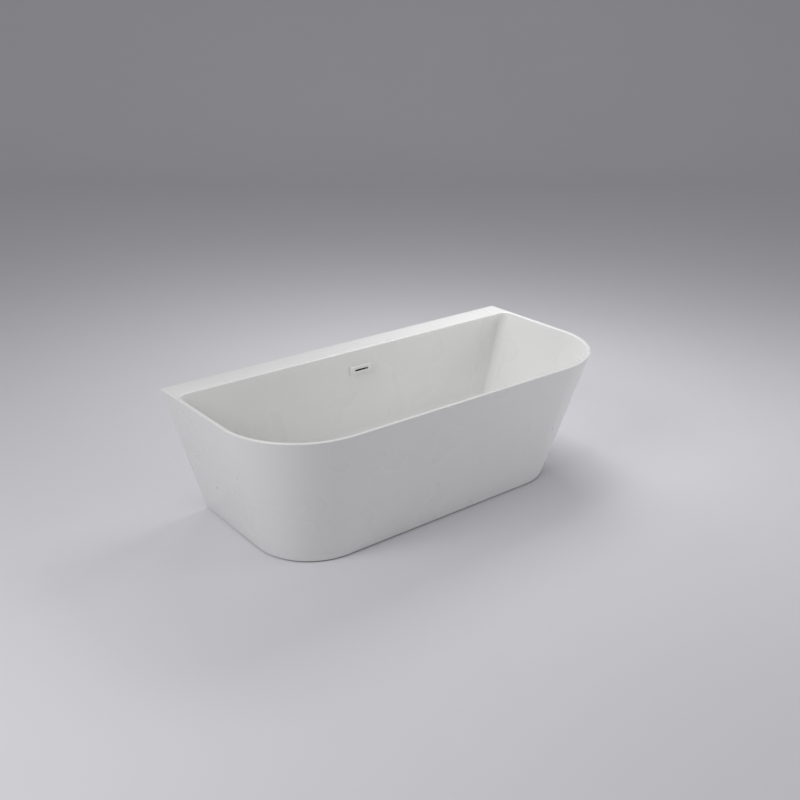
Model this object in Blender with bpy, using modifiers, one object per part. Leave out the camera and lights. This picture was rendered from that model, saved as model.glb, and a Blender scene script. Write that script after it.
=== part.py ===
"""Back-to-wall freestanding bath: acrylic bowl and skirt on a steel frame with five screw feet,
a slotted overflow and a press-to-open waste.  Metres, +Z up.

The origin is on the floor under the middle of the bath.  X runs along the bath, and the straight
side that stands against the wall faces +Y.
"""
import math

import bmesh
import bpy
from mathutils import Euler, Matrix, Vector

# ---- overall sizes ----
LENGTH = 1.700
WIDTH = 0.800
HEIGHT = 0.560
GAP = 0.0003                # clearance left between two touching pieces

# ---- outer skin: the skirt and the edge of the rim ----
TOP_CORNER_R = 0.331
BASE_LENGTH = 1.400
BASE_WIDTH = 0.654          # from the wall plane to the front of the base
BASE_CORNER_R = 0.240
FLOOR_GAP = 0.005           # the skirt stops this far above the floor
SKIRT_WALL = 0.0045
SKIRT_RETURN = 0.030        # flange that turns in along the wall plane
REAR_CORNER_R = 0.002

# ---- bowl ----
SHEET = 0.006               # acrylic with its glass-fibre backing
RIM = 0.015                 # rim width along the front and both ends
DECK = 0.105                # deck width along the wall side
LIP_R = 0.004
EDGE_R = 0.002
RIM_REAR_R = 0.034          # plan radius where deck and end rims meet
FLOOR_TOP = 0.146           # highest part of the bowl's floor
FLOOR_FALL = 0.006          # the floor falls this much to the waste
FLOOR_BOTTOM = 0.135
FLOOR_END_INSET = 0.019     # from the outer skin to the end wall's foot, at the floor's height
FLOOR_FRONT_INSET = 0.046   # from the outer skin to the front wall's foot
FLOOR_CORNER_INSET = 0.033  # the floor's front corners are this much tighter than the skin's
REAR_LEAN = 0.012           # the rear wall comes in this much from deck to floor
FLOOR_REAR_R = 0.040
CORNER_R_MIN = 0.012        # plan radius left where the floor's blend uses up the corner
FLOOR_BLEND = 0.060         # radius between the walls and the floor
DOWNTURN = 0.040            # depth of the deck's flange against the wall
DOWNTURN_MARGIN = 0.018     # it stops this far short of the skirt's return flange

# ---- base board and steel frame ----
BOARD = 0.015
BOARD_MARGIN = 0.012        # the board stays this far inside the flat of the floor
TUBE = 0.025
TUBE_WALL = 0.002
TUBE_CORNER_R = 0.003
FRONT_RAIL_INSET = 0.032    # from the front of the base to the middle of the front rail
REAR_RAIL_INSET = 0.0275    # from the wall plane to the middle of the rear rail
FRONT_RAIL_END = 0.130      # these three stop or stand this far from the end of the base
REAR_RAIL_END = 0.050
OUTER_CROSS_END = 0.180
INNER_CROSS_X = 0.225
POST_X = 0.400
POST_PLATE = (0.070, 0.040, 0.003)
CAP_PLATE = 0.002
CAP_PLUG = 0.010

# ---- skirt brackets ----
BRACKET_SHEET = 0.003
BRACKET_WIDTH = 0.036
BRACKET_RISE = 0.050
FRONT_BRACKET_X = 0.240

# ---- screw feet ----
STUD_R = 0.006
STUD_RISE = 0.011           # stud left above the rail at rest
STUD_SEAT = 0.006           # height of the stud's lower end inside its pad
STUD_HEX = 0.014            # across the flats of the spanner part
STUD_HEX_HEIGHT = 0.006
PAD_R = 0.022
PAD_NECK_R = 0.012
PAD_HEIGHT = 0.013
PAD_SKIRT = 0.007           # the pad's slope runs from its neck here to its edge
PAD_EDGE = 0.004
NUT_FLATS = 0.019
NUT_HEIGHT = 0.010
FRONT_FOOT_END = 0.240      # from the end of the base to the foot
REAR_FOOT_END = 0.230

# ---- overflow ----
OVERFLOW_DROP = 0.086       # from the rim down to the middle of the cover
COVER = (0.104, 0.034, 0.011)
COVER_R = 0.005
COVER_WALL = 0.002
COVER_SLOT = (0.066, 0.008)
COVER_LAP = (0.023, 0.008)  # the cover reaches this far past the hole in the wall
SEAL_THICK = 0.003
SEAL_LAP = (0.021, 0.011)   # so do the seal and the body's plate
PLATE_LAP = (0.024, 0.013)
BODY_PLATE_THICK = 0.004
CHAMBER_LAP = (0.005, 0.007)
CHAMBER_DEPTH = 0.036
CHAMBER_WALL = 0.003
SCREW_OFFSET = 0.012        # from the end of the hole in the wall to the screw
SCREW_R = 0.0020
SCREW_HEAD_R = 0.0040
SCREW_HEAD = 0.0025
SPIGOT_R = 0.0145
SPIGOT_WALL = 0.0025
SPIGOT_DROP = 0.060         # from the middle of the chamber to the spigot's end
HOSE_WALL = 0.0022
HOSE_BEND_R = 0.090
HOSE_OVERLAP = 0.024        # the hose goes this far over each spigot
CLIP_THICK = 0.0012
CLIP_WIDTH = 0.009

# ---- waste and trap ----
WASTE_Y = 0.050
TAIL_R = 0.022              # the flange's tail; most of the waste is sized from it
WASTE_HOLE_CLEARANCE = 0.004
RECESS_CLEARANCE = 0.006    # round the flange
RECESS_DEPTH = 0.0035
BOSS_MARGIN = 0.007         # the thick boss under the recess is this much wider
BOARD_HOLE_MARGIN = 0.014
FLANGE_R = 0.035
FLANGE_THICK = 0.0025
TOP_GASKET = 0.0012
LOW_GASKET = 0.0030
TAIL_WALL = 0.0025
TAIL_LENGTH = 0.031
BODY_FLANGE_LAP = 0.010     # past the hole in the floor
BODY_FLANGE_THICK = 0.004
BODY_ROOM = 0.0045          # between the tail and the body's bore
BODY_WALL = 0.0035
BODY_COLLAR = 0.014         # height of the threaded collar under the body's flange
PORT_Z = 0.098
PORT_LENGTH = 0.038
DIP_Z = 0.020               # lower end of the body's tube, under the trap's water
CUP_ROOM = 0.012            # round the body's tube
CUP_WALL = 0.003
CUP_BOTTOM = 0.010
CUP_TOP = 0.067
NECK_ROOM = 0.0015
NECK_TOP = 0.078
TRAP_NUT_WALL = 0.0055
TRAP_NUT_LIP = 0.003
OUTLET_Z = 0.044
PIPE_R = 0.020
PIPE_WALL = 0.002
OUTLET_NUT_WALL = 0.0047
OUTLET_NUT_LENGTH = 0.024
CUP_SPIGOT = 0.043          # the spigot stands out this far from the cup
OUTLET_BEND_R = 0.045
PIPE_END_SETBACK = 0.004    # the pipe ends this far in front of the wall plane

# ---- plug ----
PLUG_TRAVEL = 0.008
PLUG_R = 0.032
PLUG_THICK = 0.005
PLUG_SEAL_CLEARANCE = 0.0007
PLUG_SEAL_THICK = 0.0035
STEM_R = 0.0040
CARTRIDGE_R = 0.0080
CARTRIDGE_HEIGHT = 0.022
HUB_R = 0.0105
HUB_HEIGHT = 0.014
SPOKE = (0.003, 0.005)      # width and height of the four spokes

# ---- how finely curved faces are cut ----
FRONT_ARC_STEPS = 20
REAR_ARC_STEPS = 6
BLEND_STEPS = 6
ROUND = 32
SMALL_ROUND = 20

# ---- values worked out from the ones above ----
REAR_Y = WIDTH / 2
BASE_FRONT_Y = REAR_Y - BASE_WIDTH
RIM_LINE = HEIGHT - EDGE_R  # the rim is widest here
SKIRT_TOP = HEIGHT - SHEET - GAP
BOARD_TOP = FLOOR_BOTTOM - GAP
FRAME_TOP = BOARD_TOP - BOARD - GAP
FRAME_BOTTOM = FRAME_TOP - TUBE
FRONT_RAIL_Y = BASE_FRONT_Y + FRONT_RAIL_INSET
REAR_RAIL_Y = REAR_Y - REAR_RAIL_INSET
FRONT_RAIL_LENGTH = BASE_LENGTH - 2 * FRONT_RAIL_END
REAR_RAIL_LENGTH = BASE_LENGTH - 2 * REAR_RAIL_END
OUTER_CROSS_X = BASE_LENGTH / 2 - OUTER_CROSS_END
FRONT_FOOT_X = BASE_LENGTH / 2 - FRONT_FOOT_END
REAR_FOOT_X = BASE_LENGTH / 2 - REAR_FOOT_END
OVERFLOW_Z = HEIGHT - OVERFLOW_DROP
WALL_SLOT = (COVER[0] - 2 * COVER_LAP[0], COVER[1] - 2 * COVER_LAP[1])
SEAL_PLATE = (WALL_SLOT[0] + 2 * SEAL_LAP[0], WALL_SLOT[1] + 2 * SEAL_LAP[1])
BODY_PLATE = (WALL_SLOT[0] + 2 * PLATE_LAP[0], WALL_SLOT[1] + 2 * PLATE_LAP[1])
CHAMBER = (WALL_SLOT[0] + 2 * CHAMBER_LAP[0], WALL_SLOT[1] + 2 * CHAMBER_LAP[1], CHAMBER_DEPTH)
SCREW_X = WALL_SLOT[0] / 2 + SCREW_OFFSET
SPIGOT_BORE = SPIGOT_R - SPIGOT_WALL
TAIL_BORE = TAIL_R - TAIL_WALL
WASTE_HOLE_R = TAIL_R + WASTE_HOLE_CLEARANCE
RECESS_R = FLANGE_R + RECESS_CLEARANCE
BOSS_R = RECESS_R + BOSS_MARGIN
BODY_FLANGE_R = WASTE_HOLE_R + BODY_FLANGE_LAP
BODY_BORE = TAIL_R + BODY_ROOM
BODY_TUBE_R = BODY_BORE + BODY_WALL
CUP_R = BODY_TUBE_R + CUP_ROOM + CUP_WALL
NECK_R = BODY_TUBE_R + NECK_ROOM + CUP_WALL
TRAP_NUT_R = NECK_R + GAP + TRAP_NUT_WALL
OUTLET_REACH = CUP_R + CUP_SPIGOT
OUTLET_NUT_R = PIPE_R + GAP + OUTLET_NUT_WALL
PLUG_SEAL_R = TAIL_BORE - PLUG_SEAL_CLEARANCE
REAR_WALL_LEAN = math.atan2(REAR_LEAN, HEIGHT - FLOOR_TOP)
FLOOR_LOW = FLOOR_TOP - FLOOR_FALL
RECESS_Z = FLOOR_LOW - RECESS_DEPTH
BOSS_BOTTOM = RECESS_Z - SHEET
FLANGE_BOTTOM = RECESS_Z + GAP + TOP_GASKET + GAP
FLANGE_TOP = FLANGE_BOTTOM + FLANGE_THICK
BODY_TOP = BOSS_BOTTOM - GAP - LOW_GASKET - GAP
HUB_BOTTOM = FLANGE_TOP - TAIL_LENGTH
CARTRIDGE_BOTTOM = HUB_BOTTOM - 0.002
PLUG_UNDER = FLANGE_TOP + GAP + PLUG_TRAVEL
HOSE_BORE = SPIGOT_R + GAP
HOSE_R = HOSE_BORE + HOSE_WALL

FINISHES = {
    "acrylic": ((0.92, 0.92, 0.91), 0.10, 0.0),
    "board": ((0.50, 0.40, 0.28), 0.80, 0.0),
    "galvanised": ((0.60, 0.62, 0.64), 0.42, 1.0),
    "zinc": ((0.74, 0.73, 0.69), 0.30, 1.0),
    "white_plastic": ((0.88, 0.88, 0.87), 0.30, 0.0),
    "grey_plastic": ((0.42, 0.43, 0.45), 0.50, 0.0),
    "black_plastic": ((0.03, 0.03, 0.03), 0.55, 0.0),
    "rubber": ((0.05, 0.05, 0.05), 0.75, 0.0),
    "chrome": ((0.90, 0.90, 0.91), 0.06, 1.0),
}

for old in list(bpy.data.objects):
    bpy.data.objects.remove(old, do_unlink=True)

BATH = bpy.data.collections.new("freestanding_bath")
CUTTERS = bpy.data.collections.new("cutters")
bpy.context.scene.collection.children.link(BATH)
bpy.context.scene.collection.children.link(CUTTERS)


# ---- general helpers ----
def lerp(a, b, t):
    """Value a share t of the way from a to b."""
    return a + (b - a) * t


def give_material(obj, finish):
    """Give the object a material of its own in one of the listed finishes."""
    colour, roughness, metallic = FINISHES[finish]
    material = bpy.data.materials.new(obj.name + "_" + finish)
    material.use_nodes = True
    shader = material.node_tree.nodes["Principled BSDF"]
    shader.inputs["Base Color"].default_value = (*colour, 1.0)
    shader.inputs["Roughness"].default_value = roughness
    shader.inputs["Metallic"].default_value = metallic
    obj.data.materials.append(material)


def add_object(name, data, finish=None):
    """Link a new object: a part of the bath, or a helper for Booleans when it has no finish."""
    obj = bpy.data.objects.new(name, data)
    if finish:
        BATH.objects.link(obj)
        give_material(obj, finish)
    else:
        CUTTERS.objects.link(obj)
        obj.hide_render = True
        obj.display_type = "WIRE"
    return obj


def from_bmesh(name, bm, finish=None):
    """Turn a bmesh into an object with its faces pointing outward."""
    bmesh.ops.recalc_face_normals(bm, faces=bm.faces)
    mesh = bpy.data.meshes.new(name)
    bm.to_mesh(mesh)
    bm.free()
    return add_object(name, mesh, finish)


def box(name, size, centre, finish=None, radius=0.0, axis=2, segments=5):
    """Box; with a radius, the four edges that run along the axis are rounded."""
    bm = bmesh.new()
    bmesh.ops.create_cube(bm, size=1.0, matrix=Matrix.Diagonal((*size, 1.0)))
    if radius:
        edges = [edge for edge in bm.edges
                 if abs((edge.verts[0].co - edge.verts[1].co)[axis]) > size[axis] / 2]
        bmesh.ops.bevel(bm, geom=edges, offset=radius, segments=segments, profile=0.5,
                        affect="EDGES")
    obj = from_bmesh(name, bm, finish)
    obj.location = centre
    return obj


def rod(name, radius, length, centre, finish=None, axis="Z", sides=ROUND):
    """Cylinder centred on a point and lying along X, Y or Z."""
    turn = {"X": Euler((0, math.pi / 2, 0)), "Y": Euler((math.pi / 2, 0, 0)), "Z": Euler()}[axis]
    bm = bmesh.new()
    bmesh.ops.create_cone(bm, cap_ends=True, segments=sides, radius1=radius, radius2=radius,
                          depth=length, matrix=turn.to_matrix().to_4x4())
    obj = from_bmesh(name, bm, finish)
    obj.location = centre
    return obj


def loft(name, rings, finish=None, wrap=False, tip=None):
    """Skin over rings of points.  Ends are closed flat, or the first one by a fan to the tip."""
    bm = bmesh.new()
    rows = [[bm.verts.new(point) for point in ring] for ring in rings]
    pairs = list(zip(rows, rows[1:]))
    if wrap:
        pairs.append((rows[-1], rows[0]))
    for low, high in pairs:
        for k, corner in enumerate(low):
            n = (k + 1) % len(low)
            bm.faces.new((corner, low[n], high[n], high[k]))
    if tip:
        centre = bm.verts.new(tip)
        for k, corner in enumerate(rows[0]):
            bm.faces.new((centre, rows[0][(k + 1) % len(rows[0])], corner))
    elif not wrap:
        bm.faces.new(rows[0])
    if not wrap:
        bm.faces.new(rows[-1])
    return from_bmesh(name, bm, finish)


def turned(name, profile, finish=None, sides=ROUND):
    """Turned part: the profile of (radius, height) points runs down its outer side."""
    mesh = bpy.data.meshes.new(name)
    count = len(profile)
    on_axis = profile[0][0] == 0 and profile[-1][0] == 0
    edges = [(k, k + 1) for k in range(count - 1)]
    if not on_axis:
        edges.append((count - 1, 0))
    mesh.from_pydata([(radius, 0, height) for radius, height in profile], edges, [])
    obj = add_object(name, mesh, finish)
    spin = obj.modifiers.new("turn", "SCREW")
    spin.steps = sides
    spin.render_steps = sides
    spin.use_merge_vertices = True
    spin.merge_threshold = 0.00001
    return obj


def swept_tube(name, path, side, outer, bore, finish, sides=SMALL_ROUND):
    """Hollow tube along a flat path; side is the direction square to the path's plane."""
    frames = []
    for k, point in enumerate(path):
        ahead = path[min(k + 1, len(path) - 1)]
        behind = path[max(k - 1, 0)]
        frames.append((point, side.cross((ahead - behind).normalized())))

    def ring(point, across, radius):
        angles = [2 * math.pi * k / sides for k in range(sides)]
        return [point + side * (radius * math.cos(a)) + across * (radius * math.sin(a))
                for a in angles]

    rings = [ring(point, across, outer) for point, across in frames]
    rings += [ring(point, across, bore) for point, across in reversed(frames)]
    return loft(name, rings, finish, wrap=True)


def boolean(obj, other, operation):
    """Exact Boolean with a helper object."""
    modifier = obj.modifiers.new(other.name, "BOOLEAN")
    modifier.operation = operation
    modifier.solver = "EXACT"
    modifier.object = other


def cut(obj, *others):
    for other in others:
        boolean(obj, other, "DIFFERENCE")


def add(obj, *others):
    for other in others:
        boolean(obj, other, "UNION")


def joint_empty(name, location):
    """Empty that stands on a joint's axis and carries the pieces that move with it."""
    empty = bpy.data.objects.new(name, None)
    empty.empty_display_size = 0.03
    empty.location = location
    BATH.objects.link(empty)
    return empty


# ---- plan shapes ----
def arc(cx, cy, radius, start, end, steps, z):
    """Points of an arc at height z, from one angle in degrees to another."""
    angles = [math.radians(lerp(start, end, k / steps)) for k in range(steps + 1)]
    return [Vector((cx + radius * math.cos(a), cy + radius * math.sin(a), z)) for a in angles]


def d_outline(half, front, rear, front_r, rear_r, z):
    """Closed plan: big radii at the two front corners and small ones at the rear."""
    points = arc(front_r - half, front + front_r, front_r, 180, 270, FRONT_ARC_STEPS, z)
    points += arc(half - front_r, front + front_r, front_r, 270, 360, FRONT_ARC_STEPS, z)
    points += arc(half - rear_r, rear - rear_r, rear_r, 0, 90, REAR_ARC_STEPS, z)
    points += arc(rear_r - half, rear - rear_r, rear_r, 90, 180, REAR_ARC_STEPS, z)
    return points


def skin_at(z):
    """Half length, front line and front corner radius of the outer skin at height z."""
    t = min((z - FLOOR_GAP) / (RIM_LINE - FLOOR_GAP), 1.0)
    half = lerp(BASE_LENGTH, LENGTH, t) / 2
    front = REAR_Y - lerp(BASE_WIDTH, WIDTH, t)
    return half, front, lerp(BASE_CORNER_R, TOP_CORNER_R, t)


def skin_ring(z, inset=0.0):
    """Ring on the outer skin, or inside it by the inset."""
    half, front, radius = skin_at(z)
    rear_r = max(REAR_CORNER_R - inset / 2, REAR_CORNER_R / 2)
    return d_outline(half - inset, front + inset, REAR_Y - inset, radius - inset, rear_r, z)


def bowl_ring(z, grow=0.0, pull=0.0):
    """Ring on the bowl's wall at height z, moved out by grow and pulled in by pull."""
    t = (HEIGHT - z) / (HEIGHT - FLOOR_TOP)
    out = grow - pull
    foot_half, foot_front, foot_r = skin_at(FLOOR_TOP)
    half = lerp(LENGTH / 2 - RIM, foot_half - FLOOR_END_INSET, t) + out
    front = lerp(REAR_Y - WIDTH + RIM, foot_front + FLOOR_FRONT_INSET, t) - out
    rear = REAR_Y - DECK - REAR_LEAN * t + out
    front_r = lerp(TOP_CORNER_R - RIM, foot_r - FLOOR_CORNER_INSET, t) + out
    rear_r = max(lerp(RIM_REAR_R, FLOOR_REAR_R, t) + out, CORNER_R_MIN)
    return d_outline(half, front, rear, front_r, rear_r, z)


def blend_rings(floor_z, grow):
    """Rings of the rounded change from floor to wall, from the floor upward."""
    radius = FLOOR_BLEND + grow
    rings = []
    for k in range(BLEND_STEPS + 1):
        angle = math.pi / 2 * (1 - k / BLEND_STEPS)
        z = floor_z + radius * (1 - math.sin(angle))
        rings.append(bowl_ring(z, grow, radius * (1 - math.cos(angle))))
    return rings


def rear_wall_y(z):
    """The bowl's rear wall at height z."""
    return REAR_Y - DECK - REAR_LEAN * (HEIGHT - z) / (HEIGHT - FLOOR_TOP)


# ---- bowl and skirt ----
def make_basin():
    """Bowl, rim and deck in one sheet, with its waste and overflow holes."""
    rings = blend_rings(FLOOR_TOP, 0.0)
    for k in range(4):
        angle = math.pi / 2 * k / 3
        z = HEIGHT - LIP_R * (1 - math.sin(angle))
        rings.append(bowl_ring(z, LIP_R * (1 - math.cos(angle))))
    for k in range(3):
        angle = math.pi / 2 * k / 2
        z = HEIGHT - EDGE_R * (1 - math.cos(angle))
        rings.append(skin_ring(z, EDGE_R * (1 - math.sin(angle))))
    rings.append(skin_ring(HEIGHT - SHEET))
    rings.append(bowl_ring(HEIGHT - SHEET, SHEET))
    rings += reversed(blend_rings(FLOOR_BOTTOM, SHEET))
    basin = loft("basin", rings, "acrylic", tip=(0, WASTE_Y, FLOOR_LOW))

    boss_height = FLOOR_BOTTOM + SHEET / 3 - BOSS_BOTTOM
    boss = rod("waste_boss", BOSS_R, boss_height, (0, WASTE_Y, BOSS_BOTTOM + boss_height / 2))
    flange_half = skin_at(HEIGHT - DOWNTURN)[0] - SKIRT_RETURN - DOWNTURN_MARGIN
    flange = box("wall_flange", (2 * flange_half, SHEET, DOWNTURN - SHEET / 2),
                 (0, REAR_Y - SHEET / 2, HEIGHT - SHEET / 2 - (DOWNTURN - SHEET / 2) / 2))
    add(basin, boss, flange)
    recess = rod("waste_recess", RECESS_R, 0.02, (0, WASTE_Y, RECESS_Z + 0.01))
    hole = rod("waste_hole", WASTE_HOLE_R, 0.06, (0, WASTE_Y, BOSS_BOTTOM))
    slot = box("overflow_hole", (*WALL_SLOT, 0.05), (0, 0, 0), radius=WALL_SLOT[1] / 2.01)
    place_on_rear_wall(slot)
    cut(basin, recess, hole, slot)
    for side in (-1, 1):
        screw_hole = rod("overflow_screw_hole", SCREW_R + GAP, 0.05, (0, 0, 0), sides=12)
        place_on_rear_wall(screw_hole, side * SCREW_X)
        cut(basin, screw_hole)
    return basin


def make_skirt():
    """Outer panel round the front and both ends, open towards the wall."""
    rings = []
    for z in (FLOOR_GAP, SKIRT_TOP):
        half, front, radius = skin_at(z)
        left, right, middle = radius - half, half - radius, front + radius
        tip = half - SKIRT_RETURN
        inner_rear = REAR_Y - SKIRT_WALL
        inner_half = half - SKIRT_WALL
        ring = [Vector((-tip, REAR_Y, z)), Vector((-half, REAR_Y, z))]
        ring += arc(left, middle, radius, 180, 270, FRONT_ARC_STEPS, z)
        ring += arc(right, middle, radius, 270, 360, FRONT_ARC_STEPS, z)
        ring += [Vector((half, REAR_Y, z)), Vector((tip, REAR_Y, z))]
        ring += [Vector((tip, inner_rear, z)), Vector((inner_half, inner_rear, z))]
        ring += arc(right, middle, radius - SKIRT_WALL, 360, 270, FRONT_ARC_STEPS, z)
        ring += arc(left, middle, radius - SKIRT_WALL, 270, 180, FRONT_ARC_STEPS, z)
        ring += [Vector((-inner_half, inner_rear, z)), Vector((-tip, inner_rear, z))]
        rings.append(ring)
    return loft("skirt", rings, "acrylic")


def make_base_board():
    """Board bonded under the floor, with room round the waste."""
    margin = FLOOR_BLEND + SHEET + BOARD_MARGIN
    top = bowl_ring(FLOOR_BOTTOM, SHEET, margin)
    rings = [[Vector((p.x, p.y, z)) for p in top] for z in (BOARD_TOP - BOARD, BOARD_TOP)]
    board = loft("base_board", rings, "board")
    cut(board, rod("board_hole", BOSS_R + BOARD_HOLE_MARGIN, 0.06, (0, WASTE_Y, BOARD_TOP)))
    return board


# ---- frame ----
def tube_x(name, length, centre, finish="galvanised"):
    """Square tube along X."""
    tube = box(name, (length, TUBE, TUBE), centre, finish, TUBE_CORNER_R, 0, 2)
    inner = TUBE - 2 * TUBE_WALL
    cut(tube, box(name + "_bore", (length + 0.02, inner, inner), centre))
    return tube


def tube_y(name, length, centre):
    """Square tube along Y."""
    tube = box(name, (TUBE, length, TUBE), centre, "galvanised", TUBE_CORNER_R, 1, 2)
    inner = TUBE - 2 * TUBE_WALL
    cut(tube, box(name + "_bore", (inner, length + 0.02, inner), centre))
    return tube


def make_rail(name, length, y, foot_places):
    """Long rail with a hole for each foot's stud, and a plug in each end."""
    middle = (FRAME_TOP + FRAME_BOTTOM) / 2
    rail = tube_x(name, length, (0, y, middle))
    for x in foot_places:
        cut(rail, rod(name + "_stud_hole", STUD_R + GAP, 0.05, (x, y, middle), sides=SMALL_ROUND))
    for side, word in ((-1, "left"), (1, "right")):
        make_rail_cap(name + "_cap_" + word, side, length / 2, y, middle)
    return rail


def make_rail_cap(name, side, reach, y, z):
    """Plastic plug in the open end of a rail."""
    plate_x = side * (reach + GAP + CAP_PLATE / 2)
    cap = box(name, (CAP_PLATE, TUBE, TUBE), (plate_x, y, z), "black_plastic",
              TUBE_CORNER_R, 0, 2)
    plug = TUBE - 2 * TUBE_WALL - 2 * GAP
    length = CAP_PLUG + GAP + CAP_PLATE / 2
    add(cap, box(name + "_plug", (length, plug, plug), (plate_x - side * length / 2, y, z)))


def make_cross_members():
    """Four tubes that join the rails and carry the base board."""
    start = FRONT_RAIL_Y + TUBE / 2 + GAP
    end = REAR_RAIL_Y - TUBE / 2 - GAP
    middle = (FRAME_TOP + FRAME_BOTTOM) / 2
    places = (("outer_left", -OUTER_CROSS_X), ("inner_left", -INNER_CROSS_X),
              ("inner_right", INNER_CROSS_X), ("outer_right", OUTER_CROSS_X))
    for word, x in places:
        tube_y("cross_member_" + word, end - start, (x, (start + end) / 2, middle))


def make_posts():
    """Two posts from the rear rail up to the deck, each with a plate on top."""
    top = HEIGHT - SHEET - GAP
    bottom = FRAME_TOP + GAP
    for side, word in ((-1, "left"), (1, "right")):
        x = side * POST_X
        height = top - POST_PLATE[2] / 2 - bottom
        centre = (x, REAR_RAIL_Y, bottom + height / 2)
        post = box("deck_post_" + word, (TUBE, TUBE, height), centre, "galvanised",
                   TUBE_CORNER_R, 2, 2)
        inner = TUBE - 2 * TUBE_WALL
        post_bore = box("post_bore_" + word, (inner, inner, height + 0.02), centre)
        plate_y = REAR_RAIL_Y + TUBE / 2 - POST_PLATE[1] / 2
        plate = box("post_plate_" + word, POST_PLATE, (x, plate_y, top - POST_PLATE[2] / 2))
        cut(post, post_bore)
        add(post, plate)


# ---- skirt brackets ----
def bracket_outline(near, rail_edge, slope):
    """Side view of a bracket: a leg under the rail and a leg up the leaning skirt.

    near is the skirt's inner face at the bracket's lowest edge, rail_edge is how far the flat
    leg reaches under the rail, and slope is how far the skirt moves out for each metre up.
    """
    low = FRAME_BOTTOM - GAP - BRACKET_SHEET
    top = low + BRACKET_RISE
    flat = low + BRACKET_SHEET
    lean = near + slope * BRACKET_RISE
    return [(rail_edge, low), (near, low), (lean, top), (lean - BRACKET_SHEET, top),
            (near - BRACKET_SHEET + slope * BRACKET_SHEET, flat), (rail_edge, flat)]


def outline_plate(name, outline, width, finish):
    """Flat outline filled and given a width, as a 2D curve."""
    curve = bpy.data.curves.new(name, "CURVE")
    curve.dimensions = "2D"
    curve.fill_mode = "BOTH"
    curve.extrude = width / 2
    spline = curve.splines.new("POLY")
    spline.points.add(len(outline) - 1)
    for point, (u, v) in zip(spline.points, outline):
        point.co = (u, v, 0, 1)
    spline.use_cyclic_u = True
    return add_object(name, curve, finish)


def make_brackets():
    """Two brackets at the front and two at the rear hold the skirt to the frame."""
    low = FRAME_BOTTOM - GAP - BRACKET_SHEET
    half, front, _ = skin_at(low)
    high_half, high_front, _ = skin_at(low + BRACKET_RISE)
    front_near = -front - SKIRT_WALL - GAP
    front_slope = (front - high_front) / BRACKET_RISE
    end_near = half - SKIRT_WALL - GAP
    end_slope = (high_half - half) / BRACKET_RISE
    for side, word in ((-1, "left"), (1, "right")):
        outline = bracket_outline(front_near, -FRONT_RAIL_Y - TUBE / 2, front_slope)
        bracket = outline_plate("skirt_bracket_front_" + word, outline, BRACKET_WIDTH, "zinc")
        bracket.rotation_euler = (math.pi / 2, 0, -math.pi / 2)
        bracket.location = (side * FRONT_BRACKET_X, 0, 0)
        rail_edge = REAR_RAIL_LENGTH / 2 - BRACKET_WIDTH
        outline = bracket_outline(end_near, rail_edge, end_slope)
        bracket = outline_plate("skirt_bracket_rear_" + word, outline, TUBE, "zinc")
        bracket.rotation_euler = (math.pi / 2, 0, 0 if side > 0 else math.pi)
        bracket.location = (0, REAR_RAIL_Y, 0)


# ---- screw feet ----
FEET = (
    ("front_left", -FRONT_FOOT_X, FRONT_RAIL_Y),
    ("front_middle", 0.0, FRONT_RAIL_Y),
    ("front_right", FRONT_FOOT_X, FRONT_RAIL_Y),
    ("rear_left", -REAR_FOOT_X, REAR_RAIL_Y),
    ("rear_right", REAR_FOOT_X, REAR_RAIL_Y),
)


def hexagon(name, flats, height, centre, finish=None):
    """Hexagonal prism with the given size across its flats."""
    return rod(name, flats / 2 / math.cos(math.pi / 6), height, centre, finish, sides=6)


def make_foot(word, x, y):
    """Pad, threaded stud and lock nut of one foot.  The nut stays against the rail."""
    axis = joint_empty("foot_axis_" + word, (x, y, 0))
    seat_r = STUD_R + GAP
    socket = STUD_SEAT - GAP
    pad = turned("foot_pad_" + word, [
        (0, socket), (seat_r, socket), (seat_r, PAD_HEIGHT), (PAD_NECK_R, PAD_HEIGHT),
        (PAD_NECK_R, PAD_SKIRT), (PAD_R, PAD_EDGE), (PAD_R, 0), (0, 0)], "rubber", SMALL_ROUND)
    stud_top = FRAME_TOP + STUD_RISE
    stud = rod("foot_stud_" + word, STUD_R, stud_top - STUD_SEAT,
               (0, 0, (stud_top + STUD_SEAT) / 2), "zinc", sides=SMALL_ROUND)
    hex_z = PAD_HEIGHT + GAP + STUD_HEX_HEIGHT / 2
    spanner_part = hexagon("stud_hexagon_" + word, STUD_HEX, STUD_HEX_HEIGHT, (x, y, hex_z))
    add(stud, spanner_part)
    for piece in (pad, stud):
        piece.parent = axis
    nut_z = FRAME_BOTTOM - GAP - NUT_HEIGHT / 2
    nut = hexagon("foot_lock_nut_" + word, NUT_FLATS, NUT_HEIGHT, (x, y, nut_z), "zinc")
    cut(nut, rod("nut_bore_" + word, seat_r, 0.05, (x, y, nut_z), sides=SMALL_ROUND))


# ---- overflow ----
def rear_wall_point(x=0.0, up=0.0, out=0.0):
    """Point given from the overflow's middle: along the bath, up the wall, into the bowl."""
    middle = Vector((0, rear_wall_y(OVERFLOW_Z), OVERFLOW_Z))
    return middle + REAR_WALL_TURN.to_matrix() @ Vector((x, up, out))


def place_on_rear_wall(obj, x=0.0, up=0.0, out=0.0):
    """Stand an object on the bowl's rear wall: its +Z points into the bowl, its +Y up the wall."""
    obj.rotation_euler = REAR_WALL_TURN
    obj.location = rear_wall_point(x, up, out)
    return obj


REAR_WALL_TURN = Euler((math.pi / 2 - REAR_WALL_LEAN, 0, 0))
WALL_BACK = -SHEET * math.cos(REAR_WALL_LEAN)
SEAL_FRONT = WALL_BACK - GAP
PLATE_FRONT = SEAL_FRONT - SEAL_THICK - GAP
CHAMBER_FRONT = PLATE_FRONT - BODY_PLATE_THICK
SPIGOT_OUT = CHAMBER_FRONT - CHAMBER[2] / 2


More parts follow.
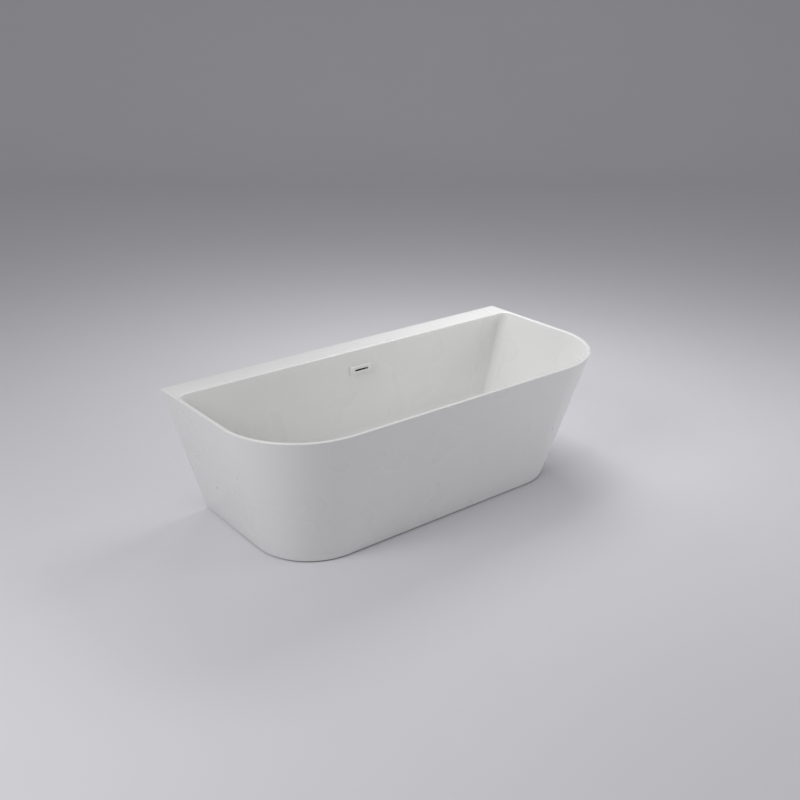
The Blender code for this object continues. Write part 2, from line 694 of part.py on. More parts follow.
def make_overflow_cover():
    """Hollow cover with one slot, standing on the bowl's rear wall."""
    middle = GAP + COVER[2] / 2
    cover = box("overflow_cover", COVER, (0, 0, 0), "white_plastic", COVER_R)
    place_on_rear_wall(cover, out=middle)
    room = box("cover_room", (COVER[0] - 2 * COVER_WALL, COVER[1] - 2 * COVER_WALL, COVER[2]),
               (0, 0, 0), radius=COVER_R - COVER_WALL)
    place_on_rear_wall(room, out=middle - COVER_WALL)
    slot = box("cover_slot", (*COVER_SLOT, 0.02), (0, 0, 0), radius=COVER_SLOT[1] / 4)
    place_on_rear_wall(slot, out=middle + COVER[2] / 2)
    cut(cover, room, slot)


def make_overflow_seal():
    """Flat rubber seal between the bowl and the overflow body."""
    middle = SEAL_FRONT - SEAL_THICK / 2
    seal = box("overflow_seal", (*SEAL_PLATE, SEAL_THICK), (0, 0, 0), "rubber", COVER_R)
    place_on_rear_wall(seal, out=middle)
    hole = box("seal_hole", (WALL_SLOT[0] + 0.002, WALL_SLOT[1] + 0.002, 0.02), (0, 0, 0),
               radius=WALL_SLOT[1] / 2)
    cut(seal, place_on_rear_wall(hole, out=middle))
    for side in (-1, 1):
        hole = rod("seal_screw_hole", SCREW_R + GAP, 0.02, (0, 0, 0), sides=12)
        cut(seal, place_on_rear_wall(hole, side * SCREW_X, 0, middle))


def make_overflow_body():
    """Plate, chamber and downward spigot behind the bowl's rear wall."""
    body = box("overflow_body", (*BODY_PLATE, BODY_PLATE_THICK), (0, 0, 0), "grey_plastic",
               COVER_R)
    place_on_rear_wall(body, out=PLATE_FRONT - BODY_PLATE_THICK / 2)
    depth = CHAMBER[2] + BODY_PLATE_THICK / 2
    chamber = box("overflow_chamber", (CHAMBER[0], CHAMBER[1], depth), (0, 0, 0), radius=COVER_R)
    place_on_rear_wall(chamber, out=CHAMBER_FRONT - CHAMBER[2] + depth / 2)
    spigot = rod("overflow_spigot", SPIGOT_R, SPIGOT_DROP, (0, 0, 0), axis="Y")
    place_on_rear_wall(spigot, 0, -SPIGOT_DROP / 2, SPIGOT_OUT)
    add(body, chamber, spigot)
    room_size = [side - 2 * CHAMBER_WALL for side in CHAMBER[:2]]
    room_depth = CHAMBER[2] + BODY_PLATE_THICK + 0.01
    room = box("chamber_room", (*room_size, room_depth), (0, 0, 0), radius=COVER_R - 0.002)
    place_on_rear_wall(room, out=CHAMBER_FRONT - CHAMBER[2] + CHAMBER_WALL + room_depth / 2)
    bore = rod("spigot_bore", SPIGOT_BORE, SPIGOT_DROP + 0.01, (0, 0, 0), axis="Y")
    place_on_rear_wall(bore, 0, -(SPIGOT_DROP + 0.01) / 2, SPIGOT_OUT)
    cut(body, room, bore)
    for side in (-1, 1):
        hole = rod("body_screw_hole", SCREW_R + GAP, 0.02, (0, 0, 0), sides=12)
        cut(body, place_on_rear_wall(hole, side * SCREW_X, 0, PLATE_FRONT))


def make_overflow_screws():
    """Two screws, hidden by the cover, clamp the overflow body to the bowl."""
    length = GAP + SCREW_HEAD - PLATE_FRONT + BODY_PLATE_THICK / 2
    for side, word in ((-1, "left"), (1, "right")):
        x = side * SCREW_X
        screw = rod("overflow_screw_" + word, SCREW_R, length, (0, 0, 0), "zinc", sides=12)
        place_on_rear_wall(screw, x, 0, GAP + SCREW_HEAD - length / 2)
        head = rod("screw_head_" + word, SCREW_HEAD_R, SCREW_HEAD, (0, 0, 0), sides=16)
        place_on_rear_wall(head, x, 0, GAP + SCREW_HEAD / 2)
        add(screw, head)


def hose_path():
    """Middle line of the hose: down along the rear wall, round a bend and under the floor."""
    lean = REAR_WALL_LEAN
    down = Vector((0, -math.sin(lean), -math.cos(lean)))
    spigot_end = rear_wall_point(0, -SPIGOT_DROP, SPIGOT_OUT)
    start = spigot_end - down * HOSE_OVERLAP
    bend_start_z = PORT_Z + HOSE_BEND_R * (1 - math.sin(lean))
    bend_start = start + down * ((start.z - bend_start_z) / math.cos(lean))
    centre = bend_start + Vector((0, -math.cos(lean), math.sin(lean))) * HOSE_BEND_R
    path = [start]
    for k in range(9):
        angle = lerp(lean, math.pi / 2, k / 8)
        spoke = Vector((0, -math.cos(angle), math.sin(angle)))
        path.append(centre - spoke * HOSE_BEND_R)
    port_end = WASTE_Y + BODY_TUBE_R + PORT_LENGTH
    path.append(Vector((0, port_end - HOSE_OVERLAP, PORT_Z)))
    return path, down


def make_hose():
    """Hose from the overflow to the waste, with a clip at each end."""
    path, down = hose_path()
    swept_tube("overflow_hose", path, Vector((1, 0, 0)), HOSE_R, HOSE_BORE, "grey_plastic")
    inner = HOSE_R + GAP
    outer = inner + CLIP_THICK
    profile = [(outer, CLIP_WIDTH / 2), (outer, -CLIP_WIDTH / 2),
               (inner, -CLIP_WIDTH / 2), (inner, CLIP_WIDTH / 2)]
    upper = turned("hose_clip_upper", profile, "zinc", SMALL_ROUND)
    upper.location = path[0] + down * (HOSE_OVERLAP / 2)
    upper.rotation_euler = (-REAR_WALL_LEAN, 0, 0)
    lower = turned("hose_clip_lower", profile, "zinc", SMALL_ROUND)
    lower.location = path[-1] + Vector((0, HOSE_OVERLAP / 2, 0))
    lower.rotation_euler = (math.pi / 2, 0, 0)


# ---- waste ----
def on_waste(obj):
    """Stand a turned piece on the waste's vertical axis."""
    obj.location = (0, WASTE_Y, 0)
    return obj


def ring_profile(outer, bore, top, bottom):
    """Profile of a plain ring."""
    return [(outer, top), (outer, bottom), (bore, bottom), (bore, top)]


def make_waste_flange():
    """Chrome flange with a tail, and four spokes that hold the plug's cartridge."""
    flange = on_waste(turned("waste_flange", [
        (FLANGE_R - 0.001, FLANGE_TOP), (FLANGE_R, FLANGE_TOP - 0.001), (FLANGE_R, FLANGE_BOTTOM),
        (TAIL_R, FLANGE_BOTTOM), (TAIL_R, HUB_BOTTOM), (TAIL_BORE, HUB_BOTTOM),
        (TAIL_BORE, FLANGE_TOP - 0.0015), (TAIL_R, FLANGE_TOP)], "chrome"))
    hub = rod("waste_hub", HUB_R, HUB_HEIGHT, (0, WASTE_Y, HUB_BOTTOM + HUB_HEIGHT / 2),
              sides=24)
    reach = TAIL_BORE + TAIL_R
    spoke_z = HUB_BOTTOM + 0.001 + SPOKE[1] / 2
    along_x = box("spoke_x", (reach, *SPOKE), (0, WASTE_Y, spoke_z))
    along_y = box("spoke_y", (SPOKE[0], reach, SPOKE[1]), (0, WASTE_Y, spoke_z))
    add(flange, along_x, along_y, hub)
    cut(flange, rod("hub_bore", CARTRIDGE_R + GAP, 0.05, (0, WASTE_Y, HUB_BOTTOM), sides=24))


def make_waste_gaskets():
    """Thin gasket above the bowl's floor and a thick one below it."""
    top = RECESS_Z + GAP
    on_waste(turned("waste_gasket_upper", ring_profile(
        FLANGE_R - 0.001, WASTE_HOLE_R + 0.0015, top + TOP_GASKET, top), "rubber"))
    low = BODY_TOP + GAP
    on_waste(turned("waste_gasket_lower", ring_profile(
        BODY_FLANGE_R, WASTE_HOLE_R, low + LOW_GASKET, low), "rubber"))


def make_waste_body():
    """Body under the bowl: it takes the tail and the overflow, and dips into the trap."""
    collar = BODY_TOP - BODY_COLLAR
    body = on_waste(turned("waste_body", [
        (BODY_FLANGE_R, BODY_TOP), (BODY_FLANGE_R, BODY_TOP - BODY_FLANGE_THICK),
        (BODY_TUBE_R, BODY_TOP - BODY_FLANGE_THICK), (BODY_TUBE_R, DIP_Z), (BODY_BORE, DIP_Z),
        (BODY_BORE, collar), (TAIL_R + GAP, collar), (TAIL_R + GAP, BODY_TOP)], "grey_plastic"))
    wall_middle = (BODY_TUBE_R + BODY_BORE) / 2
    length = BODY_TUBE_R + PORT_LENGTH - wall_middle
    port = rod("overflow_port", SPIGOT_R, length,
               (0, WASTE_Y + wall_middle + length / 2, PORT_Z), axis="Y")
    add(body, port)
    cut(body, rod("port_bore", SPIGOT_BORE, 0.08, (0, WASTE_Y + 0.055, PORT_Z), axis="Y"))


def make_plug():
    """Cap, seal and stem move together; the cartridge that guides them stays in the hub."""
    axis = joint_empty("plug_axis", (0, WASTE_Y, 0))
    cap = turned("plug_cap", [
        (0, PLUG_UNDER + PLUG_THICK), (PLUG_R * 0.6, PLUG_UNDER + PLUG_THICK * 0.94),
        (PLUG_R - 0.002, PLUG_UNDER + PLUG_THICK * 0.74), (PLUG_R, PLUG_UNDER + PLUG_THICK / 2),
        (PLUG_R, PLUG_UNDER + 0.0005), (PLUG_R - 0.0005, PLUG_UNDER), (0, PLUG_UNDER)], "chrome")
    seal_top = PLUG_UNDER - GAP
    seal = turned("plug_seal", ring_profile(
        PLUG_SEAL_R, STEM_R + GAP, seal_top, seal_top - PLUG_SEAL_THICK), "rubber")
    well = CARTRIDGE_BOTTOM + CARTRIDGE_R / 2
    stem_low = well + GAP + PLUG_TRAVEL
    stem = rod("plug_stem", STEM_R, seal_top - stem_low, (0, 0, (seal_top + stem_low) / 2),
               "zinc", sides=SMALL_ROUND)
    for piece in (cap, seal, stem):
        piece.parent = axis
    top = CARTRIDGE_BOTTOM + CARTRIDGE_HEIGHT
    bore = STEM_R + GAP
    on_waste(turned("plug_cartridge", [
        (0, well), (bore, well), (bore, top), (CARTRIDGE_R, top),
        (CARTRIDGE_R, CARTRIDGE_BOTTOM), (0, CARTRIDGE_BOTTOM)], "white_plastic", SMALL_ROUND))


# ---- trap and outlet ----
def make_trap():
    """Shallow cup trap under the waste body, and the nut that holds it."""
    floor = CUP_BOTTOM + CUP_WALL
    inside = CUP_R - CUP_WALL
    neck_bore = NECK_R - CUP_WALL
    cup = on_waste(turned("trap_cup", [
        (0, floor), (inside, floor), (inside, CUP_TOP - CUP_WALL),
        (neck_bore, CUP_TOP - CUP_WALL), (neck_bore, NECK_TOP), (NECK_R, NECK_TOP),
        (NECK_R, CUP_TOP), (CUP_R, CUP_TOP), (CUP_R, CUP_BOTTOM), (0, CUP_BOTTOM)],
        "white_plastic"))
    start = CUP_R - CUP_WALL / 2
    length = OUTLET_REACH - start
    spigot_r = PIPE_R - PIPE_WALL
    add(cup, rod("cup_spigot", spigot_r, length, (start + length / 2, WASTE_Y, OUTLET_Z),
                 axis="X"))
    bore = spigot_r - PIPE_WALL
    cut(cup, rod("cup_bore", bore, 0.08, (inside - 0.005 + 0.04, WASTE_Y, OUTLET_Z), axis="X"))
    bottom = CUP_TOP + GAP
    top = NECK_TOP + GAP + TRAP_NUT_LIP
    on_waste(turned("trap_nut", [
        (TRAP_NUT_R, top), (TRAP_NUT_R, bottom), (NECK_R + GAP, bottom),
        (NECK_R + GAP, NECK_TOP + GAP), (BODY_TUBE_R + GAP, NECK_TOP + GAP),
        (BODY_TUBE_R + GAP, top)], "white_plastic"))


def make_outlet():
    """Waste pipe from the trap to the wall, and its compression nut."""
    joint_x = OUTLET_REACH + GAP
    nut = turned("outlet_nut", ring_profile(
        OUTLET_NUT_R, PIPE_R + GAP, OUTLET_NUT_LENGTH / 2, -OUTLET_NUT_LENGTH / 2),
        "white_plastic")
    nut.location = (joint_x, WASTE_Y, OUTLET_Z)
    nut.rotation_euler = (0, math.pi / 2, 0)
    corner_x = joint_x + OUTLET_NUT_LENGTH / 2 + 0.006
    centre = Vector((corner_x, WASTE_Y + OUTLET_BEND_R, OUTLET_Z))
    path = [Vector((joint_x, WASTE_Y, OUTLET_Z))]
    for k in range(9):
        angle = math.pi / 2 * k / 8
        path.append(centre + Vector((math.sin(angle), -math.cos(angle), 0)) * OUTLET_BEND_R)
    path.append(Vector((path[-1].x, REAR_Y - PIPE_END_SETBACK, OUTLET_Z)))
    swept_tube("outlet_pipe", path, Vector((0, 0, 1)), PIPE_R, PIPE_R - PIPE_WALL,
               "white_plastic")


make_basin()
make_skirt()
make_base_board()
make_rail("front_rail", FRONT_RAIL_LENGTH, FRONT_RAIL_Y,
          [x for word, x, y in FEET if y == FRONT_RAIL_Y])
make_rail("rear_rail", REAR_RAIL_LENGTH, REAR_RAIL_Y,
          [x for word, x, y in FEET if y == REAR_RAIL_Y])
make_cross_members()
make_posts()
make_brackets()
for foot in FEET:
    make_foot(*foot)
make_overflow_cover()
make_overflow_seal()
make_overflow_body()
make_overflow_screws()
make_hose()
make_waste_flange()
make_waste_gaskets()
make_waste_body()
make_plug()
make_trap()
make_outlet()
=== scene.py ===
"""Studio picture of the back-to-wall bath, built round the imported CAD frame.  Metres, +Z up.

The bowl and the skirt are rebuilt with finely rounded edges, and the fittings under the bath get
their threads, ribs and corrugations.  Every surface has a procedural material.
"""
import math

import bmesh
import bpy
from mathutils import Euler, Matrix, Vector


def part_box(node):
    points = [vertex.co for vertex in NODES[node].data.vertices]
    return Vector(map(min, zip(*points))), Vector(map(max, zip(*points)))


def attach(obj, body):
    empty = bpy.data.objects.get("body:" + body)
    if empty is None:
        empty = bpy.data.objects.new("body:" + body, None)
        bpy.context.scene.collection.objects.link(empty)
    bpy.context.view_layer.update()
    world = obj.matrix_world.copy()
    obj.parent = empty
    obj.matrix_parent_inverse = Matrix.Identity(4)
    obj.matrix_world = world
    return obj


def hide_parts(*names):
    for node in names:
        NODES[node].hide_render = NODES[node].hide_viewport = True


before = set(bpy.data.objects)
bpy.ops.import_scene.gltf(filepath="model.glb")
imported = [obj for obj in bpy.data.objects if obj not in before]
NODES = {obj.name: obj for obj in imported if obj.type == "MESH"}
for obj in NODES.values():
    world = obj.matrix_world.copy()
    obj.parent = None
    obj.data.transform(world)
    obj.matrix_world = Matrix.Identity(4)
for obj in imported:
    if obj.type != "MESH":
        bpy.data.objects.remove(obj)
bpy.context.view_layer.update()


# ---- sizes read from the frame ----
def vertices_between(node, low, high):
    """Vertices of a CAD node whose height lies between the two."""
    return [v.co for v in NODES[node].data.vertices if low <= v.co.z <= high]


def span(points, axis):
    """Lowest and highest coordinate of some points along one axis."""
    values = [point[axis] for point in points]
    return min(values), max(values)


BASIN_LOW, BASIN_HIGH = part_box("basin")
SKIRT_LOW, SKIRT_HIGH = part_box("skirt")
LENGTH = BASIN_HIGH.x - BASIN_LOW.x
WIDTH = BASIN_HIGH.y - BASIN_LOW.y
HEIGHT = BASIN_HIGH.z
REAR_Y = BASIN_HIGH.y
FLOOR_GAP = SKIRT_LOW.z
FOOT_OF_SKIRT = vertices_between("skirt", FLOOR_GAP - 0.001, FLOOR_GAP + 0.001)
BASE_LENGTH = span(FOOT_OF_SKIRT, 0)[1] - span(FOOT_OF_SKIRT, 0)[0]
BASE_WIDTH = REAR_Y - span(FOOT_OF_SKIRT, 1)[0]
FLANGE_LOW, FLANGE_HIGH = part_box("waste_flange")
WASTE_Y = (FLANGE_LOW.y + FLANGE_HIGH.y) / 2

# ---- shape of the bowl and the skirt ----
TOP_CORNER_R = 0.331
BASE_CORNER_R = 0.240
EDGE_R = 0.002              # outer edge of the rim
LIP_R = 0.004               # inner edge of the rim
RIM = 0.015
DECK = 0.105
RIM_REAR_R = 0.034
FLOOR_TOP = 0.146
FLOOR_FALL = 0.006
FLOOR_BOTTOM = 0.135
FLOOR_END_INSET = 0.019     # from the outer skin to the end wall's foot, at the floor's height
FLOOR_FRONT_INSET = 0.046
FLOOR_CORNER_INSET = 0.033
REAR_LEAN = 0.012
FLOOR_REAR_R = 0.040
CORNER_R_MIN = 0.012
FLOOR_BLEND = 0.060
SHEET = 0.006
SKIRT_WALL = 0.0045
SKIRT_RETURN = 0.030
SKIRT_EDGE_R = 0.0016
SEAM = 0.00005              # hairline left between the rim and the skirt
DOWNTURN = 0.040
DOWNTURN_MARGIN = 0.018
WASTE_HOLE_R = 0.026
RECESS_R = 0.041
RECESS_DEPTH = 0.0035
RECESS_EDGE_R = 0.0025
BOSS_R = 0.048
OVERFLOW_Z = HEIGHT - 0.086
WALL_SLOT = (0.058, 0.018)
RIM_LINE = HEIGHT - EDGE_R
FLOOR_LOW = FLOOR_TOP - FLOOR_FALL
RECESS_Z = FLOOR_LOW - RECESS_DEPTH
BOSS_BOTTOM = RECESS_Z - SHEET
REAR_WALL_LEAN = math.atan2(REAR_LEAN, HEIGHT - FLOOR_TOP)
REAR_WALL_TURN = Euler((math.pi / 2 - REAR_WALL_LEAN, 0, 0))
GAP = 0.0003                # left between pieces that fit into each other

# ---- fittings ----
BODY_PLATE_THICK = 0.004
COVER_SIZE = (0.104, 0.034, 0.011)
COVER_EDGE_R = 0.0022
COVER_WALL = 0.002
COVER_SLOT = (0.066, 0.008)
PLATE_FRONT = -SHEET * math.cos(REAR_WALL_LEAN) - GAP - 0.003 - GAP
SCREW_X = WALL_SLOT[0] / 2 + 0.012
SCREW_R = 0.0020
SCREW_HEAD_R = 0.0040
SCREW_HEAD = 0.0025
HOSE_BORE = 0.0148
HOSE_R = 0.0170
HOSE_BEND_R = 0.090
HOSE_OVERLAP = 0.024
HOSE_PITCH = 0.0060
HOSE_GROOVE = 0.0014
HOSE_STEPS = 8              # rings in each corrugation
CLIP_THICK = 0.0012
CLIP_WIDTH = 0.009
STUD_R = 0.006
STUD_SEAT = 0.006
STUD_HEX = 0.014
STUD_HEX_HEIGHT = 0.006
THREAD_PITCH = 0.00175
THREAD_DEPTH = 0.0009
NUT_FLATS = 0.019
PAD_R = 0.022
PAD_NECK_R = 0.012
PAD_HEIGHT = 0.013
PAD_SKIRT = 0.007
PAD_EDGE = 0.004
FLANGE_R = 0.035
FLANGE_THICK = 0.0025
TAIL_R = 0.022
TAIL_BORE = 0.0195
HUB_R = 0.0105
HUB_HEIGHT = 0.014
CARTRIDGE_R = 0.0080
BODY_TUBE_R = 0.030
NECK_R = 0.0345
CUP_WALL = 0.003
OUTLET_Z = 0.044
PIPE_R = 0.020
PIPE_WALL = 0.002
STEEL_EDGE_R = 0.0004
MOULDED_EDGE_R = 0.0006
FOOT_WORDS = ("front_left", "front_middle", "front_right", "rear_left", "rear_right")

# ---- how finely curved faces are cut ----
FRONT_STEPS = 44
REAR_STEPS = 14
STRAIGHT_STEPS = 22
SIDE_STEPS = 8
SMOOTH_ANGLE = math.radians(32)

# ---- camera ----
LENS = 45.45                # millimetres
SENSOR = 36.0
CAMERA_PLACE = Vector((-2.319, -2.931, 1.981))
CAMERA_YAW = math.radians(38.14)
CAMERA_PITCH = math.radians(22.59)

# ---- studio ----
STAGE_FRONT = -7.0
STAGE_BACK = 11.0
STAGE_RISE = 6.0
COVE_R = 4.0
COVE_STEPS = 24
STAGE_HALF = 16.0
AMBIENT = 0.30
# name, place, point it looks at, size, watts: four softboxes round the bath
LIGHTS = (
    ("key_left", (-3.5, -0.5, 3.0), (0.0, 0.0, 0.3), 2.0, 80.0),
    ("fill_right", (3.0, -3.0, 1.5), (0.0, 0.0, 0.3), 2.0, 40.0),
    ("top", (1.0, 0.5, 2.0), (1.0, 0.5, 0.0), 1.0, 20.0),
    ("back", (0.5, 2.0, 2.5), (0.5, 1.5, 0.0), 1.0, 8.0),
)


def lerp(a, b, t):
    """Value a share t of the way from a to b."""
    return a + (b - a) * t


# ---- mesh helpers ----
def finish_mesh(obj):
    """Smooth shading that stays sharp at corners."""
    obj.data.shade_smooth()
    obj.data.set_sharp_from_angle(angle=SMOOTH_ANGLE)
    return obj


def new_object(name, data):
    """Object in the scene that holds a mesh, a camera or a light."""
    obj = bpy.data.objects.new(name, data)
    bpy.context.scene.collection.objects.link(obj)
    return obj


def from_bmesh(name, bm):
    """Object made of a finished bmesh, its faces turned outward."""
    bmesh.ops.recalc_face_normals(bm, faces=bm.faces)
    mesh = bpy.data.meshes.new(name)
    bm.to_mesh(mesh)
    bm.free()
    return finish_mesh(new_object(name, mesh))


def loft(name, rings, wrap=False, band_slots=None):
    """Skin over rings of points.  band_slots gives each band's material slot."""
    bm = bmesh.new()
    rows = [[bm.verts.new(point) for point in ring] for ring in rings]
    pairs = list(zip(rows, rows[1:]))
    if wrap:
        pairs.append((rows[-1], rows[0]))
    for band, (low, high) in enumerate(pairs):
        for k, corner in enumerate(low):
            n = (k + 1) % len(low)
            face = bm.faces.new((corner, low[n], high[n], high[k]))
            face.material_index = band_slots[band] if band_slots else 0
    if not wrap:
        bm.faces.new(rows[0])
        bm.faces.new(rows[-1])
    return from_bmesh(name, bm)


def turned(name, profile, place=(0, 0, 0), sides=64, turn=Euler()):
    """Turned piece: a closed ring of (radius, height) points, or one that ends on the axis."""
    on_axis = profile[0][0] == 0 and profile[-1][0] == 0
    matrix = Matrix.Translation(Vector(place)) @ turn.to_matrix().to_4x4()
    inner = profile[1:-1] if on_axis else profile
    bm = bmesh.new()
    rows = []
    for radius, height in inner:
        angles = [2 * math.pi * k / sides for k in range(sides)]
        rows.append([bm.verts.new(matrix @ Vector((radius * math.cos(a), radius * math.sin(a),
                                                   height))) for a in angles])
    pairs = list(zip(rows, rows[1:]))
    if not on_axis:
        pairs.append((rows[-1], rows[0]))
    for low, high in pairs:
        for k in range(sides):
            n = (k + 1) % sides
            bm.faces.new((low[k], low[n], high[n], high[k]))
    if on_axis:
        for row, (_, height) in ((rows[0], profile[0]), (rows[-1], profile[-1])):
            tip = bm.verts.new(matrix @ Vector((0, 0, height)))
            for k in range(sides):
                bm.faces.new((tip, row[k], row[(k + 1) % sides]))
    return from_bmesh(name, bm)


def rounded_box(name, size, radius, place=(0, 0, 0), turn=Euler(), segments=4):
    """Box with all its edges rounded."""
    matrix = Matrix.Translation(Vector(place)) @ turn.to_matrix().to_4x4()
    bm = bmesh.new()
    bmesh.ops.create_cube(bm, size=1.0, matrix=Matrix.Diagonal((*size, 1.0)))
    bmesh.ops.bevel(bm, geom=bm.edges[:], offset=radius, segments=segments, profile=0.5,
                    affect="EDGES")
    bmesh.ops.transform(bm, matrix=matrix, verts=bm.verts)
    return from_bmesh(name, bm)


def prism(name, size, radius, place=(0, 0, 0), turn=Euler(), segments=8):
    """Box whose four edges along Z are rounded."""
    matrix = Matrix.Translation(Vector(place)) @ turn.to_matrix().to_4x4()
    bm = bmesh.new()
    bmesh.ops.create_cube(bm, size=1.0, matrix=Matrix.Diagonal((*size, 1.0)))
    edges = [e for e in bm.edges if abs((e.verts[0].co - e.verts[1].co).z) > size[2] / 2]
    bmesh.ops.bevel(bm, geom=edges, offset=radius, segments=segments, profile=0.5,
                    affect="EDGES")
    bmesh.ops.transform(bm, matrix=matrix, verts=bm.verts)
    return from_bmesh(name, bm)


def shaped(name, heights, radius_at, bore=None, place=(0, 0, 0), turn=Euler(), sides=48):
    """Upright piece whose radius depends on angle and height; with a bore it is a ring."""
    matrix = Matrix.Translation(Vector(place)) @ turn.to_matrix().to_4x4()
    angles = [2 * math.pi * k / sides for k in range(sides)]

    def ring(height, radius):
        return [matrix @ Vector((radius(a, height) * math.cos(a), radius(a, height) * math.sin(a),
                                 height)) for a in angles]

    rings = [ring(height, radius_at) for height in heights]
    if bore:
        rings += [ring(height, lambda a, h: bore) for height in (heights[-1], heights[0])]
    return loft(name, rings, wrap=bool(bore))


def join(name, objects):
    """Put several objects' meshes into one object."""
    bm = bmesh.new()
    for obj in objects:
        bm.from_mesh(obj.data)
        bpy.data.objects.remove(obj, do_unlink=True)
    return from_bmesh(name, bm)


def centre_of(node):
    """Middle of a CAD node's box."""
    low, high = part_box(node)
    return (low + high) / 2


def apply_modifiers(obj):
    """Bake an object's modifiers into its mesh."""
    graph = bpy.context.evaluated_depsgraph_get()
    mesh = bpy.data.meshes.new_from_object(obj.evaluated_get(graph))
    obj.modifiers.clear()
    obj.data = mesh
    return obj


def boolean(obj, others, operation):
    """Exact Boolean with each helper, which is then removed."""
    for other in others:
        modifier = obj.modifiers.new(other.name, "BOOLEAN")
        modifier.operation = operation
        modifier.solver = "EXACT"
        modifier.object = other
    apply_modifiers(obj)
    for other in others:
        bpy.data.objects.remove(other, do_unlink=True)
    return finish_mesh(obj)


# ---- plan shapes ----
def arc(cx, cy, radius, start, end, steps, z):
    """Points along a circle from one angle to another, in degrees, with both ends."""
    angles = [math.radians(lerp(start, end, k / steps)) for k in range(steps + 1)]
    return [Vector((cx + radius * math.cos(a), cy + radius * math.sin(a), z)) for a in angles]


def run(a, b, steps):
    """Points between two others, without the two."""
    return [a.lerp(b, k / steps) for k in range(1, steps)]


def d_outline(half, front, rear, front_r, rear_r, z):
    """Closed plan with big front corners and small rear ones, cut finely."""
    left_front = arc(front_r - half, front + front_r, front_r, 180, 270, FRONT_STEPS, z)
    right_front = arc(half - front_r, front + front_r, front_r, 270, 360, FRONT_STEPS, z)
    right_rear = arc(half - rear_r, rear - rear_r, rear_r, 0, 90, REAR_STEPS, z)
    left_rear = arc(rear_r - half, rear - rear_r, rear_r, 90, 180, REAR_STEPS, z)
    points = left_front + run(left_front[-1], right_front[0], STRAIGHT_STEPS)
    points += right_front + run(right_front[-1], right_rear[0], SIDE_STEPS)
    points += right_rear + run(right_rear[-1], left_rear[0], STRAIGHT_STEPS)
    points += left_rear + run(left_rear[-1], left_front[0], SIDE_STEPS)
    return points


def skin_at(z):
    """Half length, front line and front corner radius of the outer skin at height z."""
    t = min((z - FLOOR_GAP) / (RIM_LINE - FLOOR_GAP), 1.0)
    half = lerp(BASE_LENGTH, LENGTH, t) / 2
    front = REAR_Y - lerp(BASE_WIDTH, WIDTH, t)
    return half, front, lerp(BASE_CORNER_R, TOP_CORNER_R, t)


def skin_ring(z, inset=0.0):
    """Plan of the outer skin at height z, moved in by the inset."""
    half, front, radius = skin_at(z)
    rear_r = max(EDGE_R - inset / 2, EDGE_R / 2)
    return d_outline(half - inset, front + inset, REAR_Y - inset, radius - inset, rear_r, z)


def bowl_ring(z, grow=0.0, pull=0.0):
    """Ring on the bowl's wall at height z, moved out by grow and pulled in by pull."""
    t = (HEIGHT - z) / (HEIGHT - FLOOR_TOP)
    out = grow - pull
    foot_half, foot_front, foot_r = skin_at(FLOOR_TOP)
    half = lerp(LENGTH / 2 - RIM, foot_half - FLOOR_END_INSET, t) + out
    front = lerp(REAR_Y - WIDTH + RIM, foot_front + FLOOR_FRONT_INSET, t) - out
    rear = REAR_Y - DECK - REAR_LEAN * t + out
    front_r = lerp(TOP_CORNER_R - RIM, foot_r - FLOOR_CORNER_INSET, t) + out
    rear_r = max(lerp(RIM_REAR_R, FLOOR_REAR_R, t) + out, CORNER_R_MIN)
    return d_outline(half, front, rear, front_r, rear_r, z)


def blend_rings(floor_z, grow, steps):
    """Rings of the rounded change from floor to wall, from the floor upward."""
    radius = FLOOR_BLEND + grow
    rings = []
    for k in range(steps + 1):
        angle = math.pi / 2 * (1 - k / steps)
        z = floor_z + radius * (1 - math.sin(angle))
        rings.append(bowl_ring(z, grow, radius * (1 - math.cos(angle))))
    return rings


def round_waste(ring, radius, z):
    """Circle round the waste whose points lie in line with the points of a ring."""
    centre = Vector((0, WASTE_Y, 0))
    points = []
    for point in ring:
        way = Vector((point.x, point.y, 0)) - centre
        points.append(centre + way.normalized() * radius + Vector((0, 0, z)))
    return points


def between(ring_a, ring_b, shares):
    """Rings a share of the way from one ring to another."""
    return [[a.lerp(b, share) for a, b in zip(ring_a, ring_b)] for share in shares]


# ---- bowl and skirt ----
def bowl_skin():
    """Rings of the bowl's seen side, from the waste hole to the rim's outer edge."""
    walls = blend_rings(FLOOR_TOP, 0.0, 18)
    floor = walls[0]
    rings = [round_waste(floor, WASTE_HOLE_R, RECESS_Z - SHEET / 2),
             round_waste(floor, WASTE_HOLE_R, RECESS_Z - 0.0006),
             round_waste(floor, WASTE_HOLE_R + 0.0006, RECESS_Z),
             round_waste(floor, RECESS_R - RECESS_EDGE_R, RECESS_Z)]
    for k in range(1, 6):
        angle = math.pi / 2 * k / 5
        radius = RECESS_R - RECESS_EDGE_R * math.cos(angle)
        rings.append(round_waste(floor, radius, RECESS_Z + RECESS_DEPTH * (1 - math.cos(angle))))
    edge = round_waste(floor, RECESS_R + 0.0012, FLOOR_LOW + 0.0001)
    rings.append(edge)
    rings += between(edge, floor, (0.03, 0.08, 0.16, 0.28, 0.42, 0.58, 0.74, 0.88))
    rings += walls
    top_of_blend = FLOOR_TOP + FLOOR_BLEND
    for k in range(1, 10):
        rings.append(bowl_ring(lerp(top_of_blend, HEIGHT - LIP_R, k / 10)))
    for k in range(9):
        angle = math.pi / 2 * k / 8
        z = HEIGHT - LIP_R * (1 - math.sin(angle))
        rings.append(bowl_ring(z, LIP_R * (1 - math.cos(angle))))
    for k in range(7):
        angle = math.pi / 2 * k / 6
        z = HEIGHT - EDGE_R * (1 - math.cos(angle))
        rings.append(skin_ring(z, EDGE_R * (1 - math.sin(angle))))
    rings.append(skin_ring(SKIRT_HIGH.z + SEAM))
    return rings


